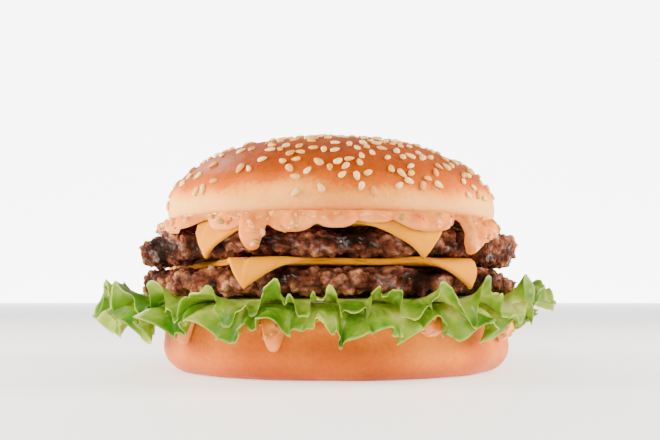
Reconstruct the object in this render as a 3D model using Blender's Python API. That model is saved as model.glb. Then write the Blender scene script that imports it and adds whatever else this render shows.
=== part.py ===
"""A double cheeseburger at its real size, as a stack of separate pieces of food.

From the table up: the heel of the bun, a layer of burger sauce that drips over its rim, two frilled
lettuce leaves, a beef patty, a slice of cheese, a second patty, a second slice, a layer of sauce and
the crown of the bun with its sesame seeds. Every layer runs right through the burger.

Lengths are in millimetres until a mesh is made, which turns them to metres. The origin is the centre
of the heel's flat base, +Z is up, and the side that shows the slices' corners faces -Y.
"""

import math
import random

import bmesh
import bpy
import numpy as np
from mathutils import Matrix, Vector, noise

MM = 0.001
TAU = 2 * math.pi
GAP = 0.35  # free space between two pieces that rest on each other
RIM_SLACK = 1.3  # extra space where cheese or sauce bends over a rim

# The bun. A 106 mm crown sits on a heel that is a little wider.
HEEL_RADIUS = 54.8
HEEL_HEIGHT = 18.4
HEEL_TOP_ROUND = (5.0, 4.6)  # how far its upper edge is rounded, inwards and downwards
HEEL_FOOT_ROUND = (7.6, 8.0)
CROWN_CENTRE_X = -1.9
CROWN_RADIUS = 52.6
CROWN_BASE_Z = 46.4
CROWN_WAIST_Z = 50.4  # height of its widest line
CROWN_TOP_Z = 73.4
CROWN_SHOULDER = 2.4  # exponent of the dome: 2 is an ellipse, more is squarer
CROWN_LIP_ROUND = (2.0, 2.2)

# The two patties are charred, lumpy discs, wider than the bun.
PATTY_CENTRE_X = -2.6
PATTY_RADIUS = 59.6
LOWER_PATTY_Z = (23.0, 31.4)
UPPER_PATTY_Z = (33.8, 42.2)
PATTY_EDGE_ROUND = 5.2
PATTY_FLAT_RADIUS = PATTY_RADIUS - PATTY_EDGE_ROUND
PATTY_BLUNTNESS = 0.78  # exponent of the edge: 1 is an ellipse, less is squarer
PATTY_SAG = 1.9  # how far the upper patty's underside sinks where no cheese holds it up
# Where a patty thins towards its rim: (angle in degrees, half width in degrees, drop of its top).
LOWER_THINNING = ((-6, 20, 3.4),)
UPPER_THINNING = ((-174, 20, 2.8), (80, 25, 1.5))
LUMP_SIZE = 9.5  # spacing of the lumps of minced beef
LUMP_DEPTH = 2.4
LUMP_REACH = 9.0  # how far in from the rim the lumps keep their full depth
INNER_LUMPS = 0.12  # share of that depth which is left where the stack presses

# The slices: four corners of each, seen from above before it melts over the patty's rim.
CHEESE_THICKNESS = 1.8
LOWER_SLICE = ((-23.0, -59.4), (41.4, -48.4), (36.0, 51.0), (-55.0, 25.0))
UPPER_SLICE = ((-37.2, -53.6), (27.8, -59.3), (57.0, 24.0), (-28.0, 58.0))

# Sauce: how far it reaches along the surface, the (size, turns, phase) waves of its edge, and its
# drips as (angle in degrees, half width in mm, reach).
SAUCE_THICKNESS = 1.2
SAUCE_BEAD = 1.7  # thickness of the rounded edge that hangs over the beef
UPPER_SAUCE_REACH = 53.9
UPPER_SAUCE_WAVES = ((0.7, 1, math.pi), (1.3, 2, -math.pi / 2), (0.5, 5, -0.35), (0.3, 9, -1.57))
UPPER_DRIPS = (
    (-135, 12.0, 59.6),
    (-118, 9.0, 60.2),
    (-109, 4.2, 63.8),
    (-99, 9.0, 59.2),
    (-64, 13.0, 60.4),
    (-48, 4.2, 64.6),
    (-40, 9.0, 61.0),
    (30, 4.6, 60.5),
    (66, 4.6, 62.0),
    (126, 5.0, 61.0),
)
LOWER_SAUCE_REACH = 51.0
LOWER_SAUCE_WAVES = ((0.7, 7, 0.5), (0.5, 12, 2.0))
LOWER_DRIPS = (
    (-141, 4.0, 61.2),
    (-108, 3.4, 62.4),
    (-98, 3.2, 56.2),
    (-62, 5.0, 58.6),
    (-29, 4.2, 60.8),
    (44, 4.2, 60.5),
    (112, 4.0, 58.5),
    (166, 3.8, 60.5),
)
SAUCE_STEP = math.radians(13)  # widest angle between two rows of points

# Lettuce: two leaves that ring the burger, folded alike so that they nest, with long and short lobes.
LEAF_CENTRE_X = -3.2
LEAF_INNER_RADIUS = 38.0
LEAF_FREE_RADIUS = 54.8  # beyond this a leaf is free of the bun and the beef
LEAF_FLAT_SHARE = 0.3
LEAF_THICKNESS = 0.8
LEAF_FOLDS = 23
FOLD_HEIGHT = 5.4  # how far a fold stands off the leaf at its margin
FOLD_SWINGS = ((-1.1, 2, 0.0), (0.55, 5, 0.6), (0.36, 9, 2.0), (0.16, 14, 4.0))  # uneven spacing
FOLD_LEAN = 0.45  # how far the folds' sides stand up: 0.5 is upright
FOLD_SWAY = 0.7  # how far the folds lean to one side or the other
# Lobe: (angle in degrees, half width in degrees, radius of its tip, height of its tip).
LOWER_LEAF = {
    "height": 21.05,
    "reach": 65.0,
    "tip": 15.0,
    "lag": 0.9,
    "lobes": (
        (-168, 13, 71.0, 13.4),
        (-141, 9, 68.0, 13.6),
        (-114, 9, 68.0, 13.0),
        (-79, 10, 68.0, 12.2),
        (-61, 5, 62.0, 16.5),
        (-49, 7, 67.0, 13.5),
        (-29, 7, 62.0, 16.5),
        (-10, 13, 63.5, 15.5),
        (34, 14, 70.0, 14.0),
        (78, 13, 69.0, 13.0),
        (118, 12, 70.0, 13.0),
        (158, 12, 69.0, 13.5),
    ),
}
UPPER_LEAF = {
    "height": 22.3,
    "reach": 66.0,
    "tip": 21.3,
    "lag": 0.0,
    "lobes": (
        (-176, 11, 73.5, 23.5),
        (-155, 8, 70.0, 22.6),
        (-124, 9, 67.5, 22.0),
        (-98, 9, 67.5, 22.5),
        (-62, 9, 68.0, 22.0),
        (-34, 10, 68.5, 22.0),
        (-3, 10, 74.0, 23.5),
        (22, 10, 69.0, 21.5),
        (60, 12, 69.0, 22.5),
        (98, 12, 70.0, 21.5),
        (138, 12, 70.5, 22.5),
    ),
}

# Sesame seeds on the crown.
SEED_LENGTH = 3.3
SEED_WIDTH = 2.0
SEED_THICKNESS = 1.3
SEED_COUNT = 60
SEED_LOWEST_Z = 51.5
SEED_CROWDING = 0.66  # 0.5 spreads them evenly over the dome, more crowds them at the top
SEED_SINK = 0.22
SEED_RANDOM = 11
GOLDEN_ANGLE = math.pi * (3 - math.sqrt(5))

# How finely the solids are divided.
BUN_SEGMENTS = 40
PATTY_SEGMENTS = 54
CHEESE_STEP = math.radians(20)
# Distances in from the slice's edge, and the share of its full thickness there.
CHEESE_RINGS = ((13.6, 1.0), (10.2, 1.0), (6.8, 1.0), (3.4, 0.85), (0.0, 0.4))
LEAF_SEGMENTS = 122
LEAF_RINGS = (0.0, 0.36, 0.7, 1.0)


def smoothstep(low, high, x):
    t = min(max((x - low) / (high - low), 0.0), 1.0)
    return t * t * (3 - 2 * t)


def wave(angle, amounts):
    """A closed uneven outline: the sum of (size, turns, phase) waves, as a share of the radius."""
    return 1 + sum(size * math.sin(turns * angle + phase) for size, turns, phase in amounts)


def heel_outline(angle):
    return wave(angle, ((0.006, 2, 0.8), (0.004, 3, 2.1), (0.002, 5, 0.3)))


def crown_outline(angle):
    return wave(angle, ((0.006, 2, 2.6), (0.005, 3, 0.9), (0.002, 5, 1.7)))


def lower_patty_outline(angle):
    return wave(angle, ((0.008, 2, 0.5), (0.009, 3, 2.2), (0.011, 5, 0.7), (0.008, 9, 1.1)))


def upper_patty_outline(angle):
    return wave(angle, ((0.010, 2, 1.5), (0.008, 3, 5.1), (0.011, 5, 2.6), (0.009, 8, 4.0)))


def quarter(radius, height, round_size, start, end, steps, up):
    """Points (r, z) round an edge, from angle start to end: 90 is flat on the disc, 0 is on its side."""
    inwards, along = round_size
    points = []
    for i in range(steps + 1):
        turn = math.radians(start + (end - start) * i / steps)
        z = math.sin(turn) * along
        points.append((radius - inwards + inwards * math.cos(turn), height + (z if up else -z)))
    return points


def heel_profile(steps=3):
    """The heel from the middle of its cut top, over the rim, to the middle of its base."""
    top, foot = HEEL_TOP_ROUND, HEEL_FOOT_ROUND
    rim = quarter(HEEL_RADIUS - 0.5, HEEL_HEIGHT - top[1], top, 90, 0, steps, True)
    base = quarter(HEEL_RADIUS, foot[1], foot, 0, 90, steps, False)
    return [(24.0, HEEL_HEIGHT)] + rim + base + [(24.0, 0.0)]


def patty_profile(z_range, steps=5):
    """A patty from the middle of its top, round its blunt edge, to the middle of its underside."""
    low, high = z_range
    middle, half = (low + high) / 2, (high - low) / 2
    rim = []
    for i in range(steps + 1):
        turn = math.pi * (0.5 - i / steps)
        out = max(math.cos(turn), 0.0) ** PATTY_BLUNTNESS
        up = math.copysign(abs(math.sin(turn)) ** PATTY_BLUNTNESS, turn)
        rim.append((PATTY_FLAT_RADIUS + PATTY_EDGE_ROUND * out, middle + half * up))
    return [(30.0, high), (48.0, high)] + rim + [(48.5, low), (28.0, low)]


def crown_profile(steps=7):
    """The crown from below its top, down the dome, round the lip and in along the cut face."""
    height = CROWN_TOP_Z - CROWN_WAIST_Z
    dome = []
    for i in range(steps):
        turn = math.radians(76) * (1 - i / (steps - 1)) ** 1.15
        radius = CROWN_RADIUS * math.cos(turn) ** (2 / CROWN_SHOULDER)
        dome.append((radius, CROWN_WAIST_Z + height * math.sin(turn)))
    lip = quarter(CROWN_RADIUS - 0.5, CROWN_BASE_Z + CROWN_LIP_ROUND[1], CROWN_LIP_ROUND, 0, 90, 2, False)
    return dome + lip + [(24.0, CROWN_BASE_Z)]


def food_material(name, colour, roughness):
    """A food finish: a colour given as linear red, green and blue, with no metal in it."""
    made = bpy.data.materials.new(name)
    made.use_nodes = True
    made.diffuse_color = (*colour, 1)
    shader = made.node_tree.nodes["Principled BSDF"]
    shader.inputs["Base Color"].default_value = (*colour, 1)
    shader.inputs["Roughness"].default_value = roughness
    shader.inputs["Metallic"].default_value = 0
    return made


def new_object(name, points, faces, made_of):
    """One closed piece from points in millimetres."""
    mesh = bpy.data.meshes.new(name)
    mesh.from_pydata([Vector(p) * MM for p in points], [], faces)
    mesh.validate()
    mesh.shade_smooth()
    mesh.set_sharp_from_angle(angle=math.radians(50))
    mesh.materials.append(made_of)
    piece = bpy.data.objects.new(name, mesh)
    bpy.context.scene.collection.objects.link(piece)
    return piece


def turned(rings, top, bottom):
    """Points and faces of a closed round body: rings of points from the top to the bottom."""
    count = len(rings[0])
    points = [top] + [p for ring in rings for p in ring] + [bottom]
    last = len(points) - 1
    faces = []
    for i in range(count):
        j = (i + 1) % count
        faces.append((0, 1 + i, 1 + j))
        for k in range(len(rings) - 1):
            a, b = 1 + k * count, 1 + (k + 1) * count
            faces.append((a + i, b + i, b + j, a + j))
        a = 1 + (len(rings) - 1) * count
        faces.append((last, a + j, a + i))
    return points, faces


def sheet(upper, lower, upper_middle=None, lower_middle=None):
    """Points and triangles of a thin closed sheet between two stacks of rings, split alike on both faces.

    With middle points it is a disc, and without them it is a ring with a hole.
    """
    count, depth = len(upper[0]), len(upper)
    points = [p for ring in upper for p in ring] + [p for ring in lower for p in ring]
    under = count * depth
    faces = []
    for k in range(depth - 1):
        for i in range(count):
            j = (i + 1) % count
            a, b, c, d = k * count + i, (k + 1) * count + i, (k + 1) * count + j, k * count + j
            for face in ((a, b, c), (a, c, d)):
                faces.append(face)
                faces.append(tuple(under + x for x in reversed(face)))
    edge = (depth - 1) * count
    for i in range(count):
        j = (i + 1) % count
        faces.append((edge + i, under + edge + i, under + edge + j))
        faces.append((edge + i, under + edge + j, edge + j))
        if upper_middle is None:
            faces.append((i, j, under + j))
            faces.append((i, under + j, under + i))
    if upper_middle is not None:
        points += [upper_middle, lower_middle]
        for i in range(count):
            j = (i + 1) % count
            faces.append((len(points) - 2, i, j))
            faces.append((len(points) - 1, under + j, under + i))
    return points, faces


def polar(radius, angle, z, centre_x=0.0):
    return (centre_x + radius * math.cos(angle), radius * math.sin(angle), z)


def build_bun_heel(made_of):
    """The bottom half of the bun: a flat foot, a full side and a rounded cut edge."""
    rings = [
        [polar(r * heel_outline(a), a, z) for a in angles_of(BUN_SEGMENTS)]
        for r, z in heel_profile()
    ]
    return new_object("bottom_bun", *turned(rings, (0, 0, HEEL_HEIGHT), (0, 0, 0)), made_of)


def angles_of(count):
    return [TAU * i / count for i in range(count)]


def lump_height(point):
    """How high the minced beef stands at a point, from 0 in a crease to 1 on a lump."""
    nearest = noise.voronoi(Vector(point) / LUMP_SIZE)[0][0]
    return 1 - min(nearest / 0.8, 1.0) ** 2


def lumpy(point, outward, radius):
    """A point of a patty's smooth skin moved in along its normal by the creases between the lumps."""
    keep = INNER_LUMPS + (1 - INNER_LUMPS) * smoothstep(
        PATTY_RADIUS - LUMP_REACH - 5, PATTY_RADIUS - LUMP_REACH, radius
    )
    return Vector(point) - outward * (LUMP_DEPTH * keep * (1 - lump_height(point)))


def thinner(thinning, angle, radius):
    """How far the top of a patty drops at a place near its rim."""
    drop = 0.0
    for degrees, half_width, depth in thinning:
        away = math.degrees(math.remainder(angle - math.radians(degrees), TAU))
        drop += depth * math.exp(-((away / half_width) ** 2))
    return drop * smoothstep(51, 59, radius)


def build_patty(name, z_range, outline, sag, thinning, made_of):
    """A beef patty: a disc with a blunt edge, its skin pushed in between the lumps.

    sag is how far its underside sinks beyond the edge of the slice below.
    """
    profile = patty_profile(z_range)
    middle = sum(z_range) / 2
    half = (z_range[1] - z_range[0]) / 2
    rings = []
    for r, z in profile:
        ring = []
        for a in angles_of(PATTY_SEGMENTS):
            radius = r * outline(a)
            rise = (z - middle) / half
            beyond = smoothstep(2, 7, outside_slice(LOWER_SLICE, radius, a)) * smoothstep(49, 53, r)
            drop = sag * beyond * max(-rise, 0) + thinner(thinning, a, r) * max(rise, 0)
            side = max(r - (PATTY_RADIUS - PATTY_EDGE_ROUND), 0) / PATTY_EDGE_ROUND
            outward = Vector((side * math.cos(a), side * math.sin(a), rise)).normalized()
            ring.append(lumpy(polar(radius, a, z - drop, PATTY_CENTRE_X), outward, radius))
        rings.append(ring)
    top = (PATTY_CENTRE_X, 0, z_range[1] - LUMP_DEPTH * INNER_LUMPS)
    bottom = (PATTY_CENTRE_X, 0, z_range[0] + LUMP_DEPTH * INNER_LUMPS)
    return new_object(name, *turned(rings, top, bottom), made_of)


def skin_path(profile):
    """Distance along a profile from the middle of the food, with the place and normal at each point."""
    line = np.array([(0.0, profile[0][1])] + list(profile))
    steps = np.linalg.norm(np.diff(line, axis=0), axis=1)
    way = np.concatenate([[0], np.cumsum(steps)])
    ahead = np.gradient(line, way, axis=0)
    normal = np.stack([-ahead[:, 1], ahead[:, 0]], axis=1)
    normal /= np.linalg.norm(normal, axis=1)[:, None]
    return way, line, normal


def upper_side(profile, lowest_z):
    """The part of a dense profile that runs from the middle of the top down the side."""
    points = []
    for r, z in profile:
        if points and (z < lowest_z or r < points[-1][0] - 1.5):
            break
        points.append((r, z))
    return points


def on_skin(path, along, offset, angle, outline, centre_x):
    """The point at a distance along the skin and at an offset outwards from it."""
    way, line, normal = path
    r = np.interp(along, way, line[:, 0])
    z = np.interp(along, way, line[:, 1])
    n_r = np.interp(along, way, normal[:, 0])
    n_z = np.interp(along, way, normal[:, 1])
    size = math.hypot(n_r, n_z)
    # The normal of the profile points up on the flat and outwards on the side.
    return polar(r * outline(angle) + offset * n_r / size, angle, z + offset * n_z / size, centre_x)


def slice_sides(corners):
    """The sides of a slice as (outward normal, distance from the middle)."""
    sides = []
    for (ax, ay), (bx, by) in zip(corners, corners[1:] + corners[:1]):
        length = math.hypot(bx - ax, by - ay)
        n_x, n_y = (by - ay) / length, (ax - bx) / length
        sides.append((n_x, n_y, n_x * ax + n_y * ay))
    return sides


def slice_reach(corners, angle):
    """Distance from the middle to the slice's edge in one direction."""
    found = [
        far / (n_x * math.cos(angle) + n_y * math.sin(angle))
        for n_x, n_y, far in slice_sides(corners)
        if n_x * math.cos(angle) + n_y * math.sin(angle) > 1e-6
    ]
    return min(found)


def outside_slice(corners, along, angle):
    """How far a place lies outside the slice: negative inside it."""
    x, y = along * math.cos(angle), along * math.sin(angle)
    return max(n_x * x + n_y * y - far for n_x, n_y, far in slice_sides(corners))


def slice_angles(corners):
    """Directions at the slice's corners and close to both sides of them, with others between."""
    kept = []
    for x, y in corners:
        corner = math.atan2(y, x)
        kept += [(corner + math.radians(away)) % TAU for away in (-18, -12, -7.5, -3.7, 0, 3.7, 7.5, 12, 18)]
    return filled_in(kept, CHEESE_STEP)


def filled_in(kept, step):
    """These directions in order, with more of them where two are further apart than the step."""
    kept.sort()
    angles = []
    for a, b in zip(kept, kept[1:] + [kept[0] + TAU]):
        parts = math.ceil((b - a) / step)
        angles += [a + (b - a) * k / parts for k in range(parts)]
    return angles


def over_rim(along, flat_radius):
    """How much further off the surface a soft layer lies where it bends over a rim."""
    return RIM_SLACK * smoothstep(flat_radius - 1, flat_radius + 3, along)


def build_cheese(name, corners, patty_z, outline, made_of):
    """A slice of cheese, flat on its patty and melted down over the rim at its corners."""
    dense = patty_profile(patty_z, steps=24)
    path = skin_path(upper_side(dense, patty_z[0] + 1.0))
    angles = slice_angles(corners)
    upper, lower = [], []
    for inwards, share in CHEESE_RINGS:
        thickness = CHEESE_THICKNESS * share
        ring_high, ring_low = [], []
        for a in angles:
            along = slice_reach(corners, a) - inwards
            under = GAP + over_rim(along, PATTY_FLAT_RADIUS)
            ring_high.append(on_skin(path, along, under + thickness, a, outline, PATTY_CENTRE_X))
            ring_low.append(on_skin(path, along, under, a, outline, PATTY_CENTRE_X))
        upper.append(ring_high)
        lower.append(ring_low)
    top = patty_z[1]
    middles = [(PATTY_CENTRE_X, 0, top + GAP + CHEESE_THICKNESS), (PATTY_CENTRE_X, 0, top + GAP)]
    return new_object(name, *sheet(upper, lower, *middles), made_of)


def drip_reach(base, waves, drips, angle, radius):
    """How far the sauce runs along the surface in one direction: its rim plus the drips."""
    reach = base + wave(angle, waves) - 1
    for degrees, half_width, far in drips:
        away = math.remainder(angle - math.radians(degrees), TAU) * radius
        share = math.exp(-(abs(away / half_width) ** 3))
        reach = max(reach, base + (far - base) * share)
    return reach


def sauce_angles(drips, radius):
    """Directions at the middle and the flanks of each drip, with others between them."""
    # They are rounded to whole degrees, so that none lie too close together.
    kept = set()
    for degrees, half_width, _ in drips:
        for side in (-1.3, -0.85, -0.4, 0.4, 0.85, 1.3):
            kept.add(round(degrees + side * math.degrees(half_width / radius)) % 360)
    return filled_in([math.radians(degrees) for degrees in kept], SAUCE_STEP)


def sauce_rings(held, reach, shares):
    """Distances along the surface of the rings of points, from the hidden middle to the free edge."""
    return [26.0, held] + [held + (reach - held) * share for share in shares]


def build_upper_sauce(made_of):
    """The sauce on the upper slice. It fills the space under the crown and runs over the beef."""
    path = skin_path(upper_side(patty_profile(UPPER_PATTY_Z, steps=24), UPPER_PATTY_Z[0]))
    room = CROWN_BASE_Z - UPPER_PATTY_Z[1] - GAP
    columns = []
    for a in sauce_angles(UPPER_DRIPS, 56):
        reach = drip_reach(UPPER_SAUCE_REACH, UPPER_SAUCE_WAVES, UPPER_DRIPS, a, 56)
        column = []
        # The first rings lie just beyond the slice's edge, so that the sauce clears it.
        held = min(slice_reach(UPPER_SLICE, a) + 3.6, 47.0)
        for along in sauce_rings(held, reach, (3.6 / (reach - held), 0.5, 0.75, 0.93, 1.0)):
            over_slice = 1 - smoothstep(4, 7, outside_slice(UPPER_SLICE, along, a))
            under = GAP + over_rim(along, PATTY_FLAT_RADIUS - 1.4) * 1.5
            under += (CHEESE_THICKNESS + GAP) * over_slice
            out = max(along - 48.5, 0) / (reach - 48.5)
            full = (room - under) * math.sqrt(max(1 - out**7, 0.0))
            bead = SAUCE_BEAD * smoothstep(54.0, 58.0, along) * (1 - out**6)
            thickness = max(full, bead, 0.5)
            column.append((a, along, under, thickness))
        columns.append(column)
    middles = ((0, 0, UPPER_PATTY_Z[1] + room), (0, 0, UPPER_PATTY_Z[1] + GAP + CHEESE_THICKNESS + GAP))
    return sauce_object("upper_sauce", columns, path, upper_patty_outline, PATTY_CENTRE_X, middles, made_of)


def build_lower_sauce(made_of):
    """The sauce on the heel, under the lettuce, with drips that run down the bun's side."""
    path = skin_path(upper_side(heel_profile(steps=16), 3.0))
    columns = []
    for a in sauce_angles(LOWER_DRIPS, HEEL_RADIUS):
        reach = drip_reach(LOWER_SAUCE_REACH, LOWER_SAUCE_WAVES, LOWER_DRIPS, a, HEEL_RADIUS)
        column = []
        for along in sauce_rings(48.0, reach, (0.2, 0.43, 0.7, 1.0)):
            out = max(along - 48.0, 0) / (reach - 48.0)
            running = 1.3 * smoothstep(53, 56, reach) * smoothstep(54.5, 58, along)
            thickness = SAUCE_THICKNESS - 0.3 * smoothstep(49, 52, along) + running if out < 1 else 0.6
            column.append((a, along, GAP + over_rim(along, 50.1), thickness))
        columns.append(column)
    middles = ((0, 0, HEEL_HEIGHT + GAP + SAUCE_THICKNESS), (0, 0, HEEL_HEIGHT + GAP))
    return sauce_object("lower_sauce", columns, path, heel_outline, 0, middles, made_of)


def sauce_object(name, columns, path, outline, centre_x, middles, made_of):
    """A sauce from columns of (angle, distance along the surface, free space under it, thickness)."""
    upper, lower = [], []
    for ring in zip(*columns):
        lower.append([on_skin(path, s, under, a, outline, centre_x) for a, s, under, _ in ring])
        upper.append([on_skin(path, s, under + t, a, outline, centre_x) for a, s, under, t in ring])
    middles = [(x + centre_x, y, z) for x, y, z in middles]
    return new_object(name, *sheet(upper, lower, *middles), made_of)


def lobe_tip(leaf, angle):
    """Radius and height of the leaf's margin in one direction."""
    total, radius, height = 0.0, 0.0, 0.0
    for degrees, half_width, far, tip in leaf["lobes"]:
        away = math.degrees(math.remainder(angle - math.radians(degrees), TAU))
        share = math.exp(-((away / half_width) ** 2))
        total += share
        radius += share * far
        height += share * tip
    bare = max(1 - total, 0.0) + 0.15
    total += bare
    return (radius + bare * leaf["reach"]) / total, (height + bare * leaf["tip"]) / total


def fold_phase(angle):
    """Turn of the folds in one direction: they are wide in some places and narrow in others."""
    return LEAF_FOLDS * angle + sum(size * math.sin(turns * angle + phase) for size, turns, phase in FOLD_SWINGS)


def fold_rate(angle):
    """Folds in a full turn, if all were as wide as those in this direction."""
    return LEAF_FOLDS + sum(size * turns * math.cos(turns * angle + phase) for size, turns, phase in FOLD_SWINGS)


def leaf_angles():
    """Directions of the leaf's rows of points, close together where the folds are."""
    fine = np.linspace(0, TAU, 2000)
    turns = np.array([fold_phase(a) for a in fine]) - fold_phase(0)
    return np.interp(np.arange(LEAF_SEGMENTS) / LEAF_SEGMENTS * turns[-1], turns, fine).tolist()


def leaf_point(leaf, angle, out, side):
    """A point of a leaf: out runs from its hidden inner edge (0) to the frilled margin (1).

    side is +1 on the upper face and -1 on the lower one.
    """
    far, tip = lobe_tip(leaf, angle)
    start, base = LEAF_FREE_RADIUS, leaf["height"]
    free = max(out - LEAF_FLAT_SHARE, 0.0) / (1 - LEAF_FLAT_SHARE)
    if free == 0:
        r, z = LEAF_INNER_RADIUS + (start - LEAF_INNER_RADIUS) * out / LEAF_FLAT_SHARE, base
        n_r, n_z = 0.0, 1.0
    else:
        bend = start + 0.5 * (far - start)
        r = (1 - free) ** 2 * start + 2 * free * (1 - free) * bend + free**2 * far
        z = (1 - free**2) * base + free**2 * tip
        t_r, t_z = (1 - free) * (bend - start) + free * (far - bend), free * (tip - base)
        n_r, n_z = -t_z / math.hypot(t_r, t_z), t_r / math.hypot(t_r, t_z)
    rate = fold_rate(angle)
    fold = fold_phase(angle)
    size = math.sqrt(LEAF_FOLDS / rate) * (0.84 - 0.06 * math.sin(3 * angle + 1.0) + 0.1 * math.sin(7 * angle))
    grown = free**2 * size
    lift = FOLD_HEIGHT * grown * math.sin(fold + leaf["lag"] * free) + side * LEAF_THICKNESS / 2
    # Both leaves lean alike, so that they stay nested.
    lean = FOLD_LEAN * math.sin(2 * fold) - FOLD_SWAY * math.sin(3 * angle + 0.7) * math.sin(fold)
    turn = angle - lean * grown / rate
    return polar(r + lift * n_r, turn, z + lift * n_z, LEAF_CENTRE_X)


def build_leaf(name, leaf, made_of):
    """A ring of lettuce: held flat under the beef, then free, folded and cut into lobes."""
    upper, lower = [], []
    for out in LEAF_RINGS:
        upper.append([leaf_point(leaf, a, out, 1) for a in leaf_angles()])
        lower.append([leaf_point(leaf, a, out, -1) for a in leaf_angles()])
    upper.reverse()
    lower.reverse()
    points, faces = sheet(upper, lower)
    return new_object(name, points, [tuple(reversed(f)) for f in faces], made_of)


def build_crown(made_of):
    """The top half of the bun: a domed crust over a flat cut face."""
    rings = [
        [polar(r * crown_outline(a), a, z, CROWN_CENTRE_X) for a in angles_of(BUN_SEGMENTS)]
        for r, z in crown_profile()
    ]
    top = (CROWN_CENTRE_X, 0, CROWN_TOP_Z)
    bottom = (CROWN_CENTRE_X, 0, CROWN_BASE_Z)
    return new_object("top_bun", *turned(rings, top, bottom), made_of)


def dome_place(share, angle):
    """Place and outward normal on the crown, from its top (share 0) to the lowest seeds (share 1)."""
    height = CROWN_TOP_Z - CROWN_WAIST_Z
    lowest = math.asin((SEED_LOWEST_Z - CROWN_WAIST_Z) / height)
    turn = math.pi / 2 - (math.pi / 2 - lowest) * share
    reach = max(math.cos(turn), 1e-4) ** (2 / CROWN_SHOULDER)
    r = CROWN_RADIUS * reach * crown_outline(angle)
    z = CROWN_WAIST_Z + height * math.sin(turn)
    slope_r = height * reach ** (CROWN_SHOULDER - 1) * CROWN_SHOULDER / 2
    slope_z = CROWN_RADIUS * math.sin(turn)
    normal = Vector((slope_r * math.cos(angle), slope_r * math.sin(angle), slope_z)).normalized()
    return Vector(polar(r, angle, z, CROWN_CENTRE_X)), normal


def seed_places():
    """Place, normal, turn and size of each seed, on a golden-angle spiral with a little scatter."""
    chance = random.Random(SEED_RANDOM)
    for i in range(SEED_COUNT):
        share = ((i + 0.5) / SEED_COUNT) ** SEED_CROWDING + chance.uniform(-0.02, 0.02)
        angle = i * GOLDEN_ANGLE + chance.uniform(-0.10, 0.10)
        place, normal = dome_place(min(max(share, 0.01), 1.0), angle)
        yield place, normal, chance.uniform(0, TAU), chance.uniform(0.9, 1.1)


def seed_mesh():
    """One sesame seed, pointed at one end: two rings of six between its ends."""
    body = bmesh.new()
    rings = []
    for along, width in ((-0.28, 0.47), (0.16, 0.36)):
        ring = []
        for k in range(6):
            turn = TAU * k / 6
            ring.append(
                body.verts.new(
                    (
                        along * SEED_LENGTH,
                        width * SEED_WIDTH * math.cos(turn),
                        0.45 * SEED_THICKNESS * math.sin(turn),
                    )
                )
            )
        rings.append(ring)
    blunt = body.verts.new((-0.5 * SEED_LENGTH, 0, 0))
    point = body.verts.new((0.5 * SEED_LENGTH, 0, 0))
    for k in range(6):
        n = (k + 1) % 6
        body.faces.new((blunt, rings[0][n], rings[0][k]))
        body.faces.new((rings[0][k], rings[0][n], rings[1][n], rings[1][k]))
        body.faces.new((point, rings[1][k], rings[1][n]))
    bmesh.ops.recalc_face_normals(body, faces=body.faces)
    bmesh.ops.scale(body, vec=(MM, MM, MM), verts=body.verts)
    mesh = bpy.data.meshes.new("seed")
    body.to_mesh(mesh)
    body.free()
    return mesh


def fuse_seeds(crown):
    """Joins the sesame seeds to the crust with one union, and takes the loose seeds away."""
    shape = seed_mesh()
    loose = bpy.data.collections.new("seeds")
    bpy.context.scene.collection.children.link(loose)
    for place, normal, turn, size in seed_places():
        seed = bpy.data.objects.new("seed", shape)
        upright = normal.to_track_quat("Z", "Y").to_matrix().to_4x4()
        # The faceted crust lies a little inside the true dome, so the seed is set on its nearest facet.
        on_crust = crown.closest_point_on_mesh(place * MM)[1]
        seed.matrix_world = (
            Matrix.Translation(on_crust + normal * SEED_SINK * MM)
            @ upright
            @ Matrix.Rotation(turn, 4, "Z")
            @ Matrix.Scale(size, 4)
        )
        loose.objects.link(seed)
    join = crown.modifiers.new("seeds", "BOOLEAN")
    join.operation = "UNION"
    join.operand_type = "COLLECTION"
    join.collection = loose
    join.solver = "MANIFOLD"
    bpy.context.view_layer.update()
    graph = bpy.context.evaluated_depsgraph_get()
    fused = bpy.data.meshes.new_from_object(crown.evaluated_get(graph))
    crown.modifiers.clear()
    crown.data = fused
    for seed in list(loose.objects):
        bpy.data.objects.remove(seed)
    bpy.data.collections.remove(loose)


def main():
    for old in list(bpy.data.objects):
        bpy.data.objects.remove(old)
    crust = food_material("bun_crust", (0.62, 0.27, 0.10), 0.55)
    beef = food_material("charred_beef", (0.13, 0.055, 0.03), 0.42)
    cheese = food_material("melted_cheese", (0.86, 0.42, 0.07), 0.35)
    sauce = food_material("burger_sauce", (0.80, 0.42, 0.20), 0.25)
    lettuce = food_material("lettuce", (0.22, 0.36, 0.06), 0.40)
    build_bun_heel(crust)
    build_lower_sauce(sauce)
    build_leaf("lettuce_lower_leaf", LOWER_LEAF, lettuce)
    build_leaf("lettuce_upper_leaf", UPPER_LEAF, lettuce)
    build_patty("lower_patty", LOWER_PATTY_Z, lower_patty_outline, 0.0, LOWER_THINNING, beef)
    build_cheese("lower_cheese", LOWER_SLICE, LOWER_PATTY_Z, lower_patty_outline, cheese)
    build_patty("upper_patty", UPPER_PATTY_Z, upper_patty_outline, PATTY_SAG, UPPER_THINNING, beef)
    build_cheese("upper_cheese", UPPER_SLICE, UPPER_PATTY_Z, upper_patty_outline, cheese)
    build_upper_sauce(sauce)
    fuse_seeds(build_crown(crust))


main()
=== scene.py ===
# %% [markdown]
# # A double cheeseburger, layer by layer
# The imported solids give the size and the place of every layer. This script dresses each of them: it
# builds the same form again with many more points, adds the relief that the real food has, and gives
# it a finish made from nodes. All lengths are worked out in millimetres and turned to metres when a
# mesh is made.

# %% The frame that everything sits on
import math
import random

import bpy
import numpy as np
from mathutils import Matrix, Vector, noise


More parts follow.
